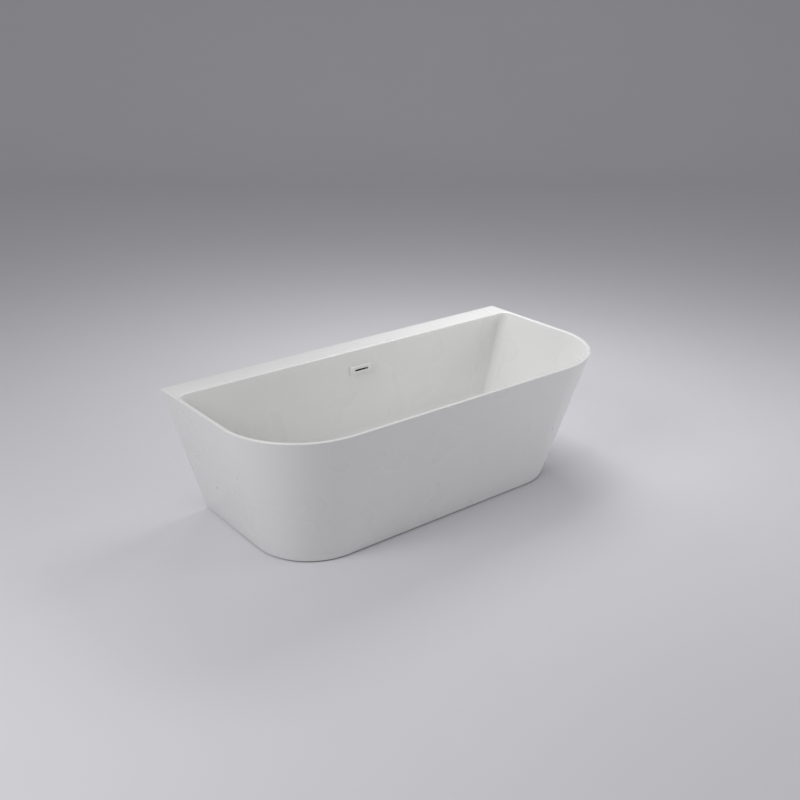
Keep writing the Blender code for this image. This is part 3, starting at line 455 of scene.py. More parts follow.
def bowl_back():
    """Rings of the bowl's hidden side, from the rim's underside back to the waste hole."""
    under = SKIRT_HIGH.z + SEAM
    walls = blend_rings(FLOOR_BOTTOM, SHEET, 12)
    rings = [skin_ring(under, SKIRT_WALL), bowl_ring(under, SHEET * 2.0),
             bowl_ring(under - SHEET * 0.35, SHEET * 1.25), bowl_ring(under - SHEET, SHEET)]
    for k in range(1, 8):
        rings.append(bowl_ring(lerp(under - SHEET, FLOOR_BOTTOM + FLOOR_BLEND + SHEET, k / 8),
                               SHEET))
    rings += reversed(walls)
    floor = walls[0]
    boss = round_waste(floor, BOSS_R, FLOOR_BOTTOM)
    rings += between(floor, boss, (0.3, 0.6, 0.85, 0.97))
    rings += [boss, round_waste(floor, BOSS_R - 0.0005, FLOOR_BOTTOM - 0.001),
              round_waste(floor, BOSS_R - 0.002, BOSS_BOTTOM),
              round_waste(floor, WASTE_HOLE_R, BOSS_BOTTOM)]
    return rings


def rear_wall_point(x=0.0, out=0.0):
    """Point given from the overflow's middle: along the bath, and into the bowl."""
    y = REAR_Y - DECK - REAR_LEAN * (HEIGHT - OVERFLOW_Z) / (HEIGHT - FLOOR_TOP)
    return Vector((0, y, OVERFLOW_Z)) + REAR_WALL_TURN.to_matrix() @ Vector((x, 0, out))


def make_bowl():
    """Bowl, rim and deck in one sheet, with the wall flange and the overflow's hole."""
    seen = bowl_skin()
    hidden = bowl_back()
    slots = [0] * len(seen) + [1] * len(hidden)
    bowl = loft("bowl_shell", seen + hidden, wrap=True, band_slots=slots)
    flange_half = skin_at(HEIGHT - DOWNTURN)[0] - SKIRT_RETURN - DOWNTURN_MARGIN
    drop = DOWNTURN - SHEET / 2
    flange = rounded_box("wall_flange", (2 * flange_half, SHEET - 0.0002, drop), 0.0012,
                         (0, REAR_Y - SHEET / 2 - 0.0001, HEIGHT - SHEET / 2 - drop / 2))
    boolean(bowl, [flange], "UNION")
    cutter = prism("overflow_hole", (*WALL_SLOT, 0.05), WALL_SLOT[1] / 2.01,
                   rear_wall_point(), REAR_WALL_TURN)
    boolean(bowl, [cutter], "DIFFERENCE")
    return bowl


def skirt_ring(z, inset):
    """Cross-section of the skirt's wall at height z, thinned all round by the inset."""
    half, front, radius = skin_at(z)
    wall = SKIRT_WALL - inset
    left, right, middle = radius - half, half - radius, front + radius
    tip = half - SKIRT_RETURN + inset
    outer_half = half - inset
    outer_rear = REAR_Y - inset
    inner_half = half - wall
    inner_rear = REAR_Y - wall
    outer = arc(left, middle, radius - inset, 180, 270, FRONT_STEPS, z)
    far = arc(right, middle, radius - inset, 270, 360, FRONT_STEPS, z)
    corner = arc(outer_half - EDGE_R, outer_rear - EDGE_R, EDGE_R, 0, 90, 5, z)
    ring = [Vector((-p.x, p.y, z)) for p in reversed(corner)]
    ring += outer + run(outer[-1], far[0], STRAIGHT_STEPS) + far + corner
    ring += [Vector((tip, outer_rear, z)), Vector((tip, inner_rear, z)),
             Vector((inner_half, inner_rear, z))]
    inner = arc(right, middle, radius - wall, 360, 270, FRONT_STEPS, z)
    inner_far = arc(left, middle, radius - wall, 270, 180, FRONT_STEPS, z)
    ring += inner + run(inner[-1], inner_far[0], STRAIGHT_STEPS) + inner_far
    ring += [Vector((-inner_half, inner_rear, z)), Vector((-tip, inner_rear, z)),
             Vector((-tip, outer_rear, z))]
    return ring


def behind_skin(point):
    """Whether a point lies on the skirt's hidden side, away from its outer skin."""
    half, front, radius = skin_at(point.z)
    depth = SKIRT_WALL * 0.6
    if point.y >= REAR_Y - depth:
        return False
    corner = Vector((max(abs(point.x) - (half - radius), 0.0),
                     min(point.y - (front + radius), 0.0)))
    if corner.x > 0 and corner.y < 0:
        return corner.length < radius - depth
    return abs(point.x) < half - depth and point.y > front + depth


def make_skirt():
    """Skirt with a rounded foot, acrylic outside and fibreglass on its hidden side."""
    rings = []
    for k in range(6):
        angle = math.pi / 2 * k / 5
        z = FLOOR_GAP + SKIRT_EDGE_R * (1 - math.sin(angle))
        rings.append(skirt_ring(z, SKIRT_EDGE_R * (1 - math.cos(angle))))
    rings.reverse()
    low = FLOOR_GAP + SKIRT_EDGE_R
    for k in range(1, 9):
        rings.append(skirt_ring(lerp(low, SKIRT_HIGH.z, k / 8), 0.0))
    skirt = loft("skirt_panel", rings)
    for face in skirt.data.polygons:
        middle = sum((skirt.data.vertices[v].co for v in face.vertices), Vector()) / len(
            face.vertices)
        if behind_skin(middle):
            face.material_index = 1
    return skirt


# ---- overflow ----
def make_overflow_cover():
    """Cover with rounded edges and one long slot, hollow behind."""
    length, height, thick = COVER_SIZE
    stand = GAP + thick / 2
    cover = rounded_box("overflow_cap", COVER_SIZE, COVER_EDGE_R, rear_wall_point(out=stand),
                        REAR_WALL_TURN, 5)
    room = prism("cap_room", (length - 2 * COVER_WALL, height - 2 * COVER_WALL, thick), 0.003,
                 rear_wall_point(out=stand - COVER_WALL), REAR_WALL_TURN)
    slot = prism("cap_slot", (*COVER_SLOT, 0.02), 0.0035, rear_wall_point(out=stand + 0.006),
                 REAR_WALL_TURN)
    boolean(cover, [room], "DIFFERENCE")
    boolean(cover, [slot], "DIFFERENCE")
    return cover


def make_overflow_screw(name, side):
    """Pan-head screw with a cross recess."""
    length = GAP + SCREW_HEAD - PLATE_FRONT + BODY_PLATE_THICK / 2
    tip = GAP + SCREW_HEAD - length
    crest = SCREW_R - 0.0001
    profile = [(0, tip), (crest * 0.8, tip)]
    pitch = 0.0008
    for k in range(int((length - SCREW_HEAD) / pitch)):
        z = tip + pitch * (k + 0.2)
        profile += [(crest * 0.82, z), (crest, z + pitch * 0.45)]
    head = SCREW_HEAD_R
    profile += [(crest * 0.82, GAP), (head - 0.0003, GAP), (head, GAP + 0.0004),
                (head - 0.0005, GAP + SCREW_HEAD * 0.75), (head * 0.6, GAP + SCREW_HEAD),
                (0, GAP + SCREW_HEAD)]
    place = rear_wall_point(side * SCREW_X)
    screw = turned("screw_body", profile, place, 24, REAR_WALL_TURN)
    bars = [rounded_box("cross", size, 0.0002, rear_wall_point(side * SCREW_X,
                        out=GAP + SCREW_HEAD), REAR_WALL_TURN, 2)
            for size in ((0.0042, 0.0009, 0.0024), (0.0009, 0.0042, 0.0024))]
    screw.name = name
    return boolean(screw, bars, "DIFFERENCE")


# ---- hose ----
def hose_path():
    """Middle line of the hose from the overflow's spigot to the waste's port."""
    down = Vector((0, -math.sin(REAR_WALL_LEAN), -math.cos(REAR_WALL_LEAN)))
    start = centre_of("hose_clip_upper") - down * (HOSE_OVERLAP / 2)
    end = centre_of("hose_clip_lower") - Vector((0, HOSE_OVERLAP / 2, 0))
    bend_z = end.z + HOSE_BEND_R * (1 - math.sin(REAR_WALL_LEAN))
    bend = start + down * ((start.z - bend_z) / math.cos(REAR_WALL_LEAN))
    hub = bend + Vector((0, -math.cos(REAR_WALL_LEAN), math.sin(REAR_WALL_LEAN))) * HOSE_BEND_R
    corners = [start, bend]
    for k in range(1, 25):
        angle = lerp(REAR_WALL_LEAN, math.pi / 2, k / 24)
        corners.append(hub - Vector((0, -math.cos(angle), math.sin(angle))) * HOSE_BEND_R)
    corners.append(end)
    return corners


def walk(corners, step):
    """Points at even steps along a line through the corners, with the way at each."""
    found = []
    left = 0.0
    for a, b in zip(corners, corners[1:]):
        length = (b - a).length
        way = (b - a).normalized()
        while left < length:
            found.append((a + way * left, way))
            left += step
        left -= length
    found.append((corners[-1], way))
    return found


def make_hose():
    """Hose with plain cuffs and corrugations between them."""
    points = walk(hose_path(), HOSE_PITCH / HOSE_STEPS)
    count = len(points)
    cuff = int(HOSE_OVERLAP * 1.15 / (HOSE_PITCH / HOSE_STEPS))
    side = Vector((1, 0, 0))
    sides = 40

    def ring(k, radius):
        point, way = points[k]
        across = side.cross(way)
        angles = [2 * math.pi * n / sides for n in range(sides)]
        return [point + (side * math.cos(a) + across * math.sin(a)) * radius for a in angles]

    def outer(k):
        if k < cuff or k > count - 1 - cuff:
            return HOSE_R - 0.0001
        wave = 0.5 - 0.5 * math.cos(2 * math.pi * (k - cuff) / HOSE_STEPS)
        return HOSE_R - 0.0001 - HOSE_GROOVE * wave

    rings = [ring(k, outer(k)) for k in range(count)]
    rings += [ring(k, HOSE_BORE + 0.0001) for k in range(count - 1, -1, -4)]
    return loft("hose_bellows", rings, wrap=True)


def make_clip(name, node, turn):
    """Worm-drive hose clip: slotted band, housing and screw."""
    place = centre_of(node)
    inner = HOSE_R + GAP
    outer = inner + CLIP_THICK
    half = CLIP_WIDTH / 2

    def band(angle, height):
        slot = math.cos(angle * 54) > 0.2 and abs(height) < half * 0.55
        return outer - (0.0005 if slot else 0.0)

    heights = [-half, -half * 0.62, -half * 0.5, half * 0.5, half * 0.62, half]
    strap = shaped("strap", heights, band, inner, place, turn, 216)
    spin = turn.to_matrix()
    housing = rounded_box("housing", (0.0055, 0.0150, CLIP_WIDTH + 0.0010), 0.0014,
                          place + spin @ Vector((outer + 0.0024, 0, 0)), turn, 3)
    along = (spin @ Euler((math.pi / 2, 0, 0)).to_matrix()).to_euler()
    screw = turned("worm", [(0, -0.0112), (0.0026, -0.0112), (0.0032, -0.0106),
                            (0.0032, -0.0072), (0, -0.0072)],
                   place + spin @ Vector((outer + 0.0026, 0, 0)), 20, along)
    return join(name, [strap, housing, screw])


# ---- feet ----
def hexagon_radius(flats, angle):
    """Distance from a hexagon's middle to its edge at an angle."""
    sector = math.pi / 3
    return flats / 2 / math.cos((angle + sector / 2) % sector - sector / 2)


def nut_like(name, flats, low, high, bore, place, sides=72):
    """Hexagon with the corners turned off top and bottom."""
    corner = flats / 2 / math.cos(math.pi / 6)
    drop = (corner - flats / 2) * 0.62
    steps = [k / 6 for k in range(7)]
    heights = [low + drop * t for t in steps] + [high - drop * (1 - t) for t in steps]

    def radius(angle, height):
        gap = min(height - low, high - height) / drop
        turned_off = lerp(flats / 2 - 0.0002, corner, min(gap, 1.0))
        return min(hexagon_radius(flats, angle), turned_off)

    return shaped(name, heights, radius, bore, place, Euler(), sides)


def make_stud(word):
    """Threaded stud with a turned-down tip and a hexagon for the spanner."""
    node = "foot_stud_" + word
    low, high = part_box(node)
    middle = centre_of(node)
    place = Vector((middle.x, middle.y, 0))
    step = THREAD_PITCH / 6
    count = int((high.z - low.z) / step)
    heights = [lerp(low.z, high.z, k / count) for k in range(count + 1)]
    thread_from = PAD_HEIGHT + STUD_HEX_HEIGHT

    def radius(angle, height):
        crest = STUD_R - 0.0001
        crest -= max(0.0, 0.0010 - (high.z - height), 0.0010 - (height - low.z)) * 0.9
        if height < thread_from:
            return crest
        turn = (height / THREAD_PITCH - angle / (2 * math.pi)) % 1.0
        return crest - THREAD_DEPTH * abs(2 * turn - 1) ** 0.8

    rod = shaped("stud_rod", heights, radius, None, place, Euler(), 24)
    spanner = nut_like("stud_hexagon", STUD_HEX - 0.0002, PAD_HEIGHT + 0.0005,
                       PAD_HEIGHT + STUD_HEX_HEIGHT, STUD_R - 0.0006, place)
    return join("levelling_stud_" + word, [rod, spanner])


def make_lock_nut(word):
    """Plain hexagon nut that locks a stud to its rail."""
    node = "foot_lock_nut_" + word
    low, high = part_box(node)
    middle = centre_of(node)
    return nut_like("lock_nut_" + word, NUT_FLATS - 0.0002, low.z + 0.0001, high.z - 0.0001,
                    STUD_R + GAP, Vector((middle.x, middle.y, 0)))


def make_pad(word):
    """Rubber foot with a rounded skirt, grip ribs round its slope and a socket on top."""
    middle = centre_of("foot_pad_" + word)

    def radius(angle, height):
        if height <= PAD_EDGE:
            return PAD_R - max(0.0, 0.0010 - height) * 0.8
        if height >= PAD_SKIRT:
            return PAD_NECK_R - max(0.0, height - (PAD_HEIGHT - 0.0010)) * 0.8
        slope = (height - PAD_EDGE) / (PAD_SKIRT - PAD_EDGE)
        rib = 0.0007 * max(0.0, math.cos(angle * 18)) * math.sin(math.pi * slope)
        return lerp(PAD_R, PAD_NECK_R, slope) - rib

    heights = [0.0, 0.0004, 0.0010, 0.0030, PAD_EDGE]
    heights += [lerp(PAD_EDGE, PAD_SKIRT, k / 8) for k in range(1, 9)]
    heights += [0.009, 0.0105, PAD_HEIGHT - 0.0010, PAD_HEIGHT - 0.0004, PAD_HEIGHT]
    place = Vector((middle.x, middle.y, 0))
    pad = shaped("pad_" + word, heights, radius, None, place, Euler(), 144)
    socket = turned("socket", [(0, STUD_SEAT - GAP), (STUD_R + GAP, STUD_SEAT - GAP),
                               (STUD_R + GAP, PAD_HEIGHT + 0.004), (0, PAD_HEIGHT + 0.004)],
                    place, 48)
    return boolean(pad, [socket], "DIFFERENCE")


# ---- waste and trap ----
def make_waste_ring():
    """Chrome flange with a soft lip, its tail and the spokes that hold the cartridge."""
    top = FLANGE_HIGH.z
    bottom = FLANGE_LOW.z
    under = top - FLANGE_THICK
    profile = [(FLANGE_R - 0.0022, top), (FLANGE_R - 0.0012, top - 0.0003),
               (FLANGE_R - 0.0004, top - 0.0009), (FLANGE_R, top - 0.0017), (FLANGE_R, under),
               (TAIL_R, under)]
    turns = int((under - bottom - 0.004) / 0.0015)
    for k in range(turns):
        z = under - 0.003 - 0.0015 * k
        profile += [(TAIL_R, z), (TAIL_R - 0.0007, z - 0.00075)]
    profile += [(TAIL_R - 0.0005, bottom), (TAIL_BORE, bottom), (TAIL_BORE, top - 0.0032),
                (TAIL_BORE + 0.0005, top - 0.0016), (TAIL_R - 0.0010, top - 0.0005),
                (TAIL_R + 0.0010, top)]
    ring = turned("waste_ring", profile, (0, WASTE_Y, 0), 96)
    hub = turned("hub", [(HUB_R - 0.0006, bottom + HUB_HEIGHT), (HUB_R, bottom + 0.0134),
                         (HUB_R, bottom + 0.0006), (HUB_R - 0.0006, bottom),
                         (CARTRIDGE_R + GAP, bottom), (CARTRIDGE_R + GAP, bottom + HUB_HEIGHT)],
                 (0, WASTE_Y, 0), 48)
    pieces = [ring, hub]
    for k in range(4):
        turn = Euler((0, 0, math.pi / 2 * k))
        reach = (HUB_R + TAIL_BORE) / 2
        place = Vector((0, WASTE_Y, bottom + 0.0035)) + turn.to_matrix() @ Vector((reach, 0, 0))
        pieces.append(rounded_box("spoke", (TAIL_BORE - HUB_R + 0.001, 0.003, 0.005), 0.0008,
                                  place, turn, 3))
    return join("waste_ring", pieces)


def make_plug_cap():
    """Gently domed cap with a rounded edge."""
    low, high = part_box("plug_cap")
    radius = (high.x - low.x) / 2
    thick = high.z - low.z
    profile = [(0, high.z)]
    for k in range(1, 15):
        share = k / 14
        profile.append((radius * 0.93 * share, high.z - thick * 0.22 * share ** 2.4))
    for k in range(1, 9):
        angle = math.pi / 2 * k / 8
        profile.append((radius * 0.93 + radius * 0.07 * math.sin(angle),
                        high.z - thick * (0.22 + 0.33 * (1 - math.cos(angle)))))
    profile += [(radius, low.z + 0.0008), (radius - 0.0003, low.z + 0.0002),
                (radius - 0.0008, low.z), (0, low.z)]
    return turned("plug_lid", profile, (0, WASTE_Y, 0), 96)


def ribbed_nut(name, outer, bore, low, high, place, turn=Euler(), ribs=28):
    """Moulded nut with grip ribs and a plain collar at each end."""
    def radius(angle, height):
        edge = min(height - low, high - height)
        if edge < 0.0018:
            return outer - 0.0014 - max(0.0, 0.0006 - edge)
        return outer - 0.0015 * (0.5 - 0.5 * math.cos(angle * ribs)) ** 2

    heights = [low, low + 0.0006, low + 0.0017, low + 0.0019, high - 0.0019, high - 0.0017,
               high - 0.0006, high]
    return shaped(name, heights, radius, bore, place, turn, ribs * 8)


def make_trap_nut():
    """Ribbed hand nut with an inward lip that holds the trap's cup."""
    low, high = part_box("trap_nut")
    outer = (high.x - low.x) / 2
    grip_low = low.z + 0.0001
    top = high.z - 0.0001
    nut = ribbed_nut("trap_ring", outer, NECK_R + GAP, grip_low, top - 0.0031,
                     (0, WASTE_Y, 0), Euler(), 36)
    lip = turned("lip", [(outer - 0.0014, top - 0.0031), (outer - 0.0016, top - 0.0008),
                         (outer - 0.0026, top), (BODY_TUBE_R + GAP, top),
                         (BODY_TUBE_R + GAP, top - 0.0029), (NECK_R + GAP, top - 0.0031)],
                 (0, WASTE_Y, 0), 96)
    return join("trap_ring", [nut, lip])


def make_outlet_nut():
    """Ribbed hand nut round the outlet pipe."""
    low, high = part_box("outlet_nut")
    middle = (low + high) / 2
    half = (high.x - low.x) / 2
    return ribbed_nut("outlet_ring", (high.z - low.z) / 2, PIPE_R + GAP, -half + 0.0001,
                      half - 0.0001, middle, Euler((0, math.pi / 2, 0)), 24)


def make_cup():
    """Trap cup with rounded edges and a plain spigot for the outlet."""
    low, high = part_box("trap_cup")
    outer = -low.x
    floor = low.z + CUP_WALL
    inside = outer - CUP_WALL
    shoulder = high.z - 0.011
    neck = NECK_R
    profile = [(0, floor), (inside - 0.006, floor)]
    profile += [(inside - 0.006 + 0.006 * math.sin(a), floor + 0.006 * (1 - math.cos(a)))
                for a in (0.4, 0.8, 1.2, 1.57)]
    profile += [(inside, shoulder - CUP_WALL), (neck - CUP_WALL, shoulder - CUP_WALL),
                (neck - CUP_WALL, high.z), (neck, high.z), (neck, shoulder),
                (outer - 0.004, shoulder), (outer - 0.0012, shoulder - 0.0012),
                (outer, shoulder - 0.004), (outer, low.z + 0.008)]
    profile += [(outer - 0.008 + 0.008 * math.cos(a), low.z + 0.008 * (1 - math.sin(a)))
                for a in (0.4, 0.8, 1.2, 1.57)]
    profile += [(0, low.z)]
    cup = turned("cup", profile, (0, WASTE_Y, 0), 96)
    start = outer - CUP_WALL / 2
    across = Euler((0, math.pi / 2, 0))
    place = Vector((0, WASTE_Y, OUTLET_Z))
    spigot_r = PIPE_R - PIPE_WALL - 0.0001
    end = high.x
    spigot = turned("spigot", [(0, start), (spigot_r, start), (spigot_r, end - 0.001),
                               (spigot_r - 0.0008, end), (0, end)], place, 64, across)
    boolean(cup, [spigot], "UNION")
    bore_r = spigot_r - PIPE_WALL
    bore = turned("bore", [(0, inside - 0.006), (bore_r, inside - 0.006), (bore_r, end + 0.01),
                           (0, end + 0.01)], place, 64, across)
    boolean(cup, [bore], "DIFFERENCE")
    cup.name = "trap_bowl"
    return cup


def soften(node, width):
    """Small rounded edge on a CAD node that is kept, as a modifier."""
    bevel = NODES[node].modifiers.new("edge", "BEVEL")
    bevel.width = width
    bevel.segments = 2
    bevel.limit_method = "ANGLE"
    bevel.angle_limit = math.radians(50)


# ---- materials ----
class Paint:
    """Small builder for a procedural material round one Principled shader."""

    def __init__(self, name, roughness=0.5, metallic=0.0, ior=1.5, coat=0.0):
        self.material = bpy.data.materials.new(name)
        self.material.use_nodes = True
        self.tree = self.material.node_tree
        self.shader = self.tree.nodes["Principled BSDF"]
        self.shader.inputs["Roughness"].default_value = roughness
        self.shader.inputs["Metallic"].default_value = metallic
        self.shader.inputs["IOR"].default_value = ior
        self.shader.inputs["Coat Weight"].default_value = coat
        self.coords = self.tree.nodes.new("ShaderNodeTexCoord").outputs["Object"]

    def link(self, output, target):
        self.tree.links.new(output, target)

    def scaled(self, scale):
        """Object coordinates stretched by a factor along each axis."""
        node = self.tree.nodes.new("ShaderNodeMapping")
        node.inputs["Scale"].default_value = scale
        self.link(self.coords, node.inputs["Vector"])
        return node.outputs["Vector"]

    def noise(self, scale, detail=2.0, distortion=0.0, vector=None):
        node = self.tree.nodes.new("ShaderNodeTexNoise")
        node.inputs["Scale"].default_value = scale
        node.inputs["Detail"].default_value = detail
        node.inputs["Distortion"].default_value = distortion
        self.link(vector or self.coords, node.inputs["Vector"])
        return node.outputs["Fac"]

    def cells(self, scale, output="Color", feature="F1", vector=None):
        node = self.tree.nodes.new("ShaderNodeTexVoronoi")
        node.feature = feature
        node.inputs["Scale"].default_value = scale
        self.link(vector or self.coords, node.inputs["Vector"])
        return node.outputs[output]

    def between(self, value, low, high, start=0.0, end=1.0):
        """Map a value from start..end to low..high."""
        node = self.tree.nodes.new("ShaderNodeMapRange")
        node.inputs["From Min"].default_value = start
        node.inputs["From Max"].default_value = end
        node.inputs["To Min"].default_value = low
        node.inputs["To Max"].default_value = high
        self.link(value, node.inputs["Value"])
        return node.outputs["Result"]

    def mix(self, value, colour_a, colour_b):
        """Colour between two others; each may be a colour or a node's output."""
        node = self.tree.nodes.new("ShaderNodeMix")
        node.data_type = "RGBA"
        self.link(value, node.inputs["Factor"])
        for colour, socket in ((colour_a, node.inputs[6]), (colour_b, node.inputs[7])):
            if isinstance(colour, tuple):
                socket.default_value = (*colour, 1.0)
            else:
                self.link(colour, socket)
        return node.outputs[2]

    def colour(self, output):
        self.link(output, self.shader.inputs["Base Color"])

    def roughness(self, output):
        self.link(output, self.shader.inputs["Roughness"])

    def bump(self, height, distance, strength=1.0):
        """Bump on top of any bump that is already there."""
        node = self.tree.nodes.new("ShaderNodeBump")
        node.inputs["Distance"].default_value = distance
        node.inputs["Strength"].default_value = strength
        self.link(height, node.inputs["Height"])
        normal = self.shader.inputs["Normal"]
        if normal.is_linked:
            self.link(normal.links[0].from_socket, node.inputs["Normal"])
        self.link(node.outputs["Normal"], normal)


def acrylic():
    """Polished white sanitary acrylic with a trace of orange peel."""
    paint = Paint("acrylic_white", ior=1.49, coat=0.12)
    paint.shader.inputs["Coat Roughness"].default_value = 0.06
    broad = paint.noise(2.2, 2.0)
    paint.colour(paint.mix(broad, (0.752, 0.751, 0.748), (0.772, 0.771, 0.768)))
    paint.roughness(paint.between(paint.noise(6.0, 1.0), 0.27, 0.30, 0.35, 0.65))
    paint.bump(paint.noise(60.0, 0.0), 0.000006)
    return paint.material


def fibreglass():
    """Sprayed resin and chopped strands on the hidden side of the acrylic."""
    paint = Paint("fibreglass_back", coat=0.1)
    strands = paint.noise(130.0, 6.0, 1.6, paint.scaled((1.0, 2.6, 1.0)))
    crossing = paint.noise(120.0, 6.0, 1.8, paint.scaled((2.4, 1.0, 1.6)))
    lumps = paint.noise(9.0, 3.0)
    paint.colour(paint.mix(paint.between(strands, 0.0, 1.0, 0.35, 0.65), (0.66, 0.66, 0.60),
                           paint.mix(lumps, (0.74, 0.74, 0.69), (0.80, 0.80, 0.77))))
    paint.roughness(paint.between(crossing, 0.35, 0.70, 0.35, 0.65))
    paint.bump(strands, 0.0008)
    paint.bump(crossing, 0.0006)
    paint.bump(lumps, 0.0015)
    return paint.material


def moulded(name, colour, roughness, grain=900.0):
    """Moulded plastic with a fine spark-eroded grain."""
    paint = Paint(name, ior=1.5)
    darker = tuple(value * 0.93 for value in colour)
    paint.colour(paint.mix(paint.noise(30.0, 3.0), darker, colour))
    paint.roughness(paint.between(paint.noise(55.0, 4.0), roughness * 0.85, roughness * 1.2,
                                  0.3, 0.7))
    paint.bump(paint.noise(grain, 2.0), 0.00004)
    return paint.material


def rubber():
    """Black rubber with a dusty bloom."""
    paint = Paint("rubber_black", ior=1.52)
    bloom = paint.noise(22.0, 6.0)
    paint.colour(paint.mix(paint.between(bloom, 0.0, 1.0, 0.4, 0.75), (0.022, 0.022, 0.023),
                           (0.065, 0.064, 0.062)))
    paint.roughness(paint.between(bloom, 0.62, 0.85, 0.3, 0.7))
    paint.bump(paint.noise(700.0, 3.0), 0.00006)
    return paint.material


def galvanised():
    """Hot-dip galvanised tube with spangle."""
    paint = Paint("galvanised_steel", metallic=1.0)
    spangle = paint.cells(110.0)
    fine = paint.noise(260.0, 3.0)
    separate = paint.tree.nodes.new("ShaderNodeSeparateColor")
    paint.link(spangle, separate.inputs["Color"])
    tone = separate.outputs["Red"]
    paint.colour(paint.mix(tone, (0.46, 0.48, 0.50), (0.66, 0.68, 0.70)))
    paint.roughness(paint.between(separate.outputs["Green"], 0.30, 0.52))
    paint.bump(paint.cells(110.0, "Distance"), 0.00012)
    paint.bump(fine, 0.00005)
    return paint.material


def zinc():
    """Bright zinc plate with a faint yellow and grey mottling."""
    paint = Paint("zinc_plate", metallic=1.0)
    mottle = paint.noise(45.0, 5.0, 0.6)
    paint.colour(paint.mix(mottle, (0.62, 0.60, 0.54), (0.78, 0.78, 0.76)))
    paint.roughness(paint.between(paint.noise(90.0, 4.0), 0.22, 0.42, 0.3, 0.7))
    paint.bump(paint.noise(500.0, 2.0), 0.00003)
    return paint.material


def chrome():
    """Polished chrome with the faintest haze."""
    paint = Paint("chrome", metallic=1.0)
    haze = paint.noise(35.0, 4.0)
    paint.colour(paint.mix(haze, (0.86, 0.87, 0.88), (0.92, 0.92, 0.92)))
    paint.roughness(paint.between(haze, 0.04, 0.10, 0.3, 0.7))
    paint.bump(paint.noise(160.0, 2.0), 0.000008)
    return paint.material


def chipboard():
    """Chipboard: flakes of several browns, pressed flat."""
    paint = Paint("chipboard")
    flat = paint.scaled((1.0, 1.0, 3.0))
    flakes = paint.cells(170.0, vector=flat)
    separate = paint.tree.nodes.new("ShaderNodeSeparateColor")
    paint.link(flakes, separate.inputs["Color"])
    tone = paint.mix(separate.outputs["Red"], (0.30, 0.20, 0.11), (0.56, 0.43, 0.27))
    dust = paint.noise(420.0, 4.0, 0.0, flat)
    paint.colour(paint.mix(paint.between(dust, 0.0, 0.6, 0.4, 0.7), tone, (0.62, 0.50, 0.34)))
    paint.roughness(paint.between(dust, 0.70, 0.92))
    paint.bump(separate.outputs["Green"], 0.00035)
    paint.bump(dust, 0.00015)
    return paint.material


def studio_floor():
    """Pale matt studio floor."""
    paint = Paint("studio_floor", ior=1.35)
    cloud = paint.noise(0.7, 3.0)
    paint.colour(paint.mix(cloud, (0.678, 0.673, 0.712), (0.704, 0.699, 0.738)))
    paint.roughness(paint.between(paint.noise(9.0, 4.0), 0.55, 0.70, 0.3, 0.7))
    paint.bump(paint.noise(400.0, 2.0), 0.00004)
    return paint.material


# ---- camera, stage and lights ----
def make_camera():
    """Camera at the photograph's viewing angle."""
    data = bpy.data.cameras.new("camera")
    data.lens = LENS
    data.sensor_width = SENSOR
    data.clip_end = 200.0
    camera = new_object("camera", data)
    camera.location = CAMERA_PLACE
    camera.rotation_euler = (math.pi / 2 - CAMERA_PITCH, 0, -CAMERA_YAW)
    bpy.context.scene.camera = camera


def make_stage():
    """Floor that runs back and curves up into a backdrop, square to the camera."""
    profile = [(STAGE_FRONT, 0.0), (0.0, 0.0), (STAGE_BACK - COVE_R, 0.0)]
    for k in range(1, COVE_STEPS + 1):
        angle = math.pi / 2 * k / COVE_STEPS
        profile.append((STAGE_BACK - COVE_R + COVE_R * math.sin(angle),
                        COVE_R * (1 - math.cos(angle))))
    profile.append((STAGE_BACK, STAGE_RISE))
    bm = bmesh.new()
    rows = [[bm.verts.new((x, y, z)) for x in (-STAGE_HALF, 0.0, STAGE_HALF)]
            for y, z in profile]
    for low, high in zip(rows, rows[1:]):
        for k in range(2):
            bm.faces.new((low[k], low[k + 1], high[k + 1], high[k]))
    mesh = bpy.data.meshes.new("stage")
    bm.to_mesh(mesh)
    bm.free()
    stage = finish_mesh(new_object("stage", mesh))
    stage.rotation_euler = (0, 0, -CAMERA_YAW)
    stage.data.materials.append(studio_floor())


def make_light(name, place, target, size, watts):
    """Square softbox at a place, turned to a target."""
    data = bpy.data.lights.new(name, "AREA")
    data.size = size
    data.energy = watts
    light = new_object(name, data)
    light.location = place
    way = Vector(target) - Vector(place)
    light.rotation_euler = way.to_track_quat("-Z", "Y").to_euler()
    light.visible_camera = False


def make_studio():
    """Even white air round the bath, and the softboxes."""
    scene = bpy.context.scene
    scene.view_settings.view_transform = "Standard"
    world = bpy.data.worlds.new("studio_air")
    world.use_nodes = True
    back = world.node_tree.nodes["Background"]
    back.inputs["Color"].default_value = (1.0, 1.0, 1.0, 1.0)
    back.inputs["Strength"].default_value = AMBIENT
    scene.world = world
    for light in LIGHTS:
        make_light(*light)


# ---- putting it together ----
def dress(obj, *materials):
    """Give an object its materials, one for each slot."""
    obj.data.materials.clear()
    for material in materials:
        obj.data.materials.append(material)
    return obj


def put(obj, body, slot, replaced, *materials):
    """Let a new piece ride on a body in place of a CAD node."""
    dress(obj, *materials)
    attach(obj, body)
    for node in replaced:
        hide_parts(node)
    return obj


make_camera()
make_stage()
make_studio()

ACRYLIC = acrylic()
FIBREGLASS = fibreglass()
FINISH = {
    "galvanised": galvanised(), "zinc": zinc(), "chrome": chrome(), "rubber": rubber(),
    "board": chipboard(),
    "white_gloss": moulded("plastic_white_gloss", (0.765, 0.765, 0.76), 0.22, 400.0),
    "white": moulded("plastic_white", (0.80, 0.80, 0.78), 0.38),
    "grey": moulded("plastic_grey", (0.13, 0.135, 0.145), 0.48),
    "black": moulded("plastic_black", (0.025, 0.025, 0.026), 0.52),
}
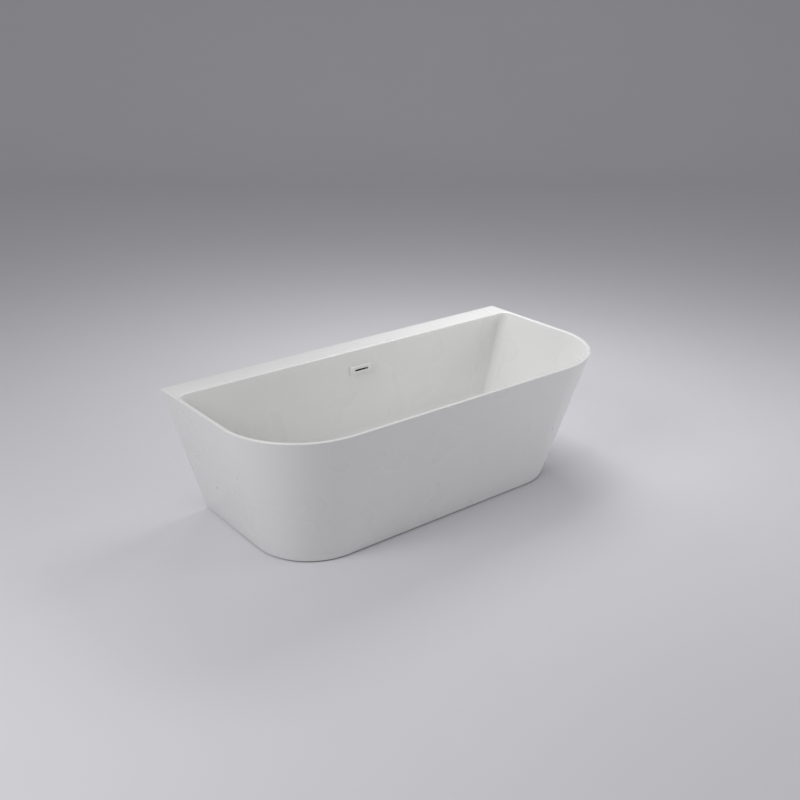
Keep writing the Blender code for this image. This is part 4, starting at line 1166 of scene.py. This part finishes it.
# words in the names of the CAD nodes that are kept; the rail caps match twice, black comes last
CARRIED = {
    "galvanised": ("rail", "cross_member", "deck_post"),
    "zinc": ("skirt_bracket", "plug_stem"),
    "rubber": ("overflow_seal", "waste_gasket", "plug_seal"),
    "board": ("base_board",),
    "white": ("outlet_pipe", "plug_cartridge"),
    "grey": ("overflow_body", "waste_body"),
    "black": ("front_rail_cap", "rear_rail_cap"),
}
for finish, words in CARRIED.items():
    for node_name, node in NODES.items():
        if any(word in node_name for word in words):
            dress(node, FINISH[finish])

put(make_bowl(), "bath", "acrylic", ("basin",), ACRYLIC, FIBREGLASS)
put(make_skirt(), "bath", "acrylic", ("skirt",), ACRYLIC, FIBREGLASS)
put(make_overflow_cover(), "bath", "plastic_white_gloss", ("overflow_cover",),
    FINISH["white_gloss"])
for hand, side in (("left", -1), ("right", 1)):
    put(make_overflow_screw("cover_screw_" + hand, side), "bath", "zinc",
        ("overflow_screw_" + hand,), FINISH["zinc"])
put(make_hose(), "bath", "plastic_grey", ("overflow_hose",), FINISH["grey"])
put(make_clip("band_clip_upper", "hose_clip_upper", Euler((-REAR_WALL_LEAN, 0, 0))), "bath",
    "zinc", ("hose_clip_upper",), FINISH["zinc"])
put(make_clip("band_clip_lower", "hose_clip_lower", Euler((math.pi / 2, 0, 0))), "bath",
    "zinc", ("hose_clip_lower",), FINISH["zinc"])
for foot in FOOT_WORDS:
    put(make_stud(foot), "stud_" + foot, "zinc", ("foot_stud_" + foot,), FINISH["zinc"])
    put(make_lock_nut(foot), "bath", "zinc", ("foot_lock_nut_" + foot,), FINISH["zinc"])
    put(make_pad(foot), "foot_" + foot, "rubber_black", ("foot_pad_" + foot,),
        FINISH["rubber"])
put(make_waste_ring(), "bath", "chrome", ("waste_flange",), FINISH["chrome"])
put(make_plug_cap(), "plug", "chrome", ("plug_cap",), FINISH["chrome"])
put(make_trap_nut(), "bath", "plastic_white", ("trap_nut",), FINISH["white"])
put(make_outlet_nut(), "bath", "plastic_white", ("outlet_nut",), FINISH["white"])
put(make_cup(), "bath", "plastic_white", ("trap_cup",), FINISH["white"])
for node_name in NODES:
    if any(word in node_name for word in ("rail", "cross_member", "deck_post", "bracket")):
        soften(node_name, STEEL_EDGE_R)
    elif node_name in ("base_board", "overflow_body", "waste_body"):
        soften(node_name, MOULDED_EDGE_R)
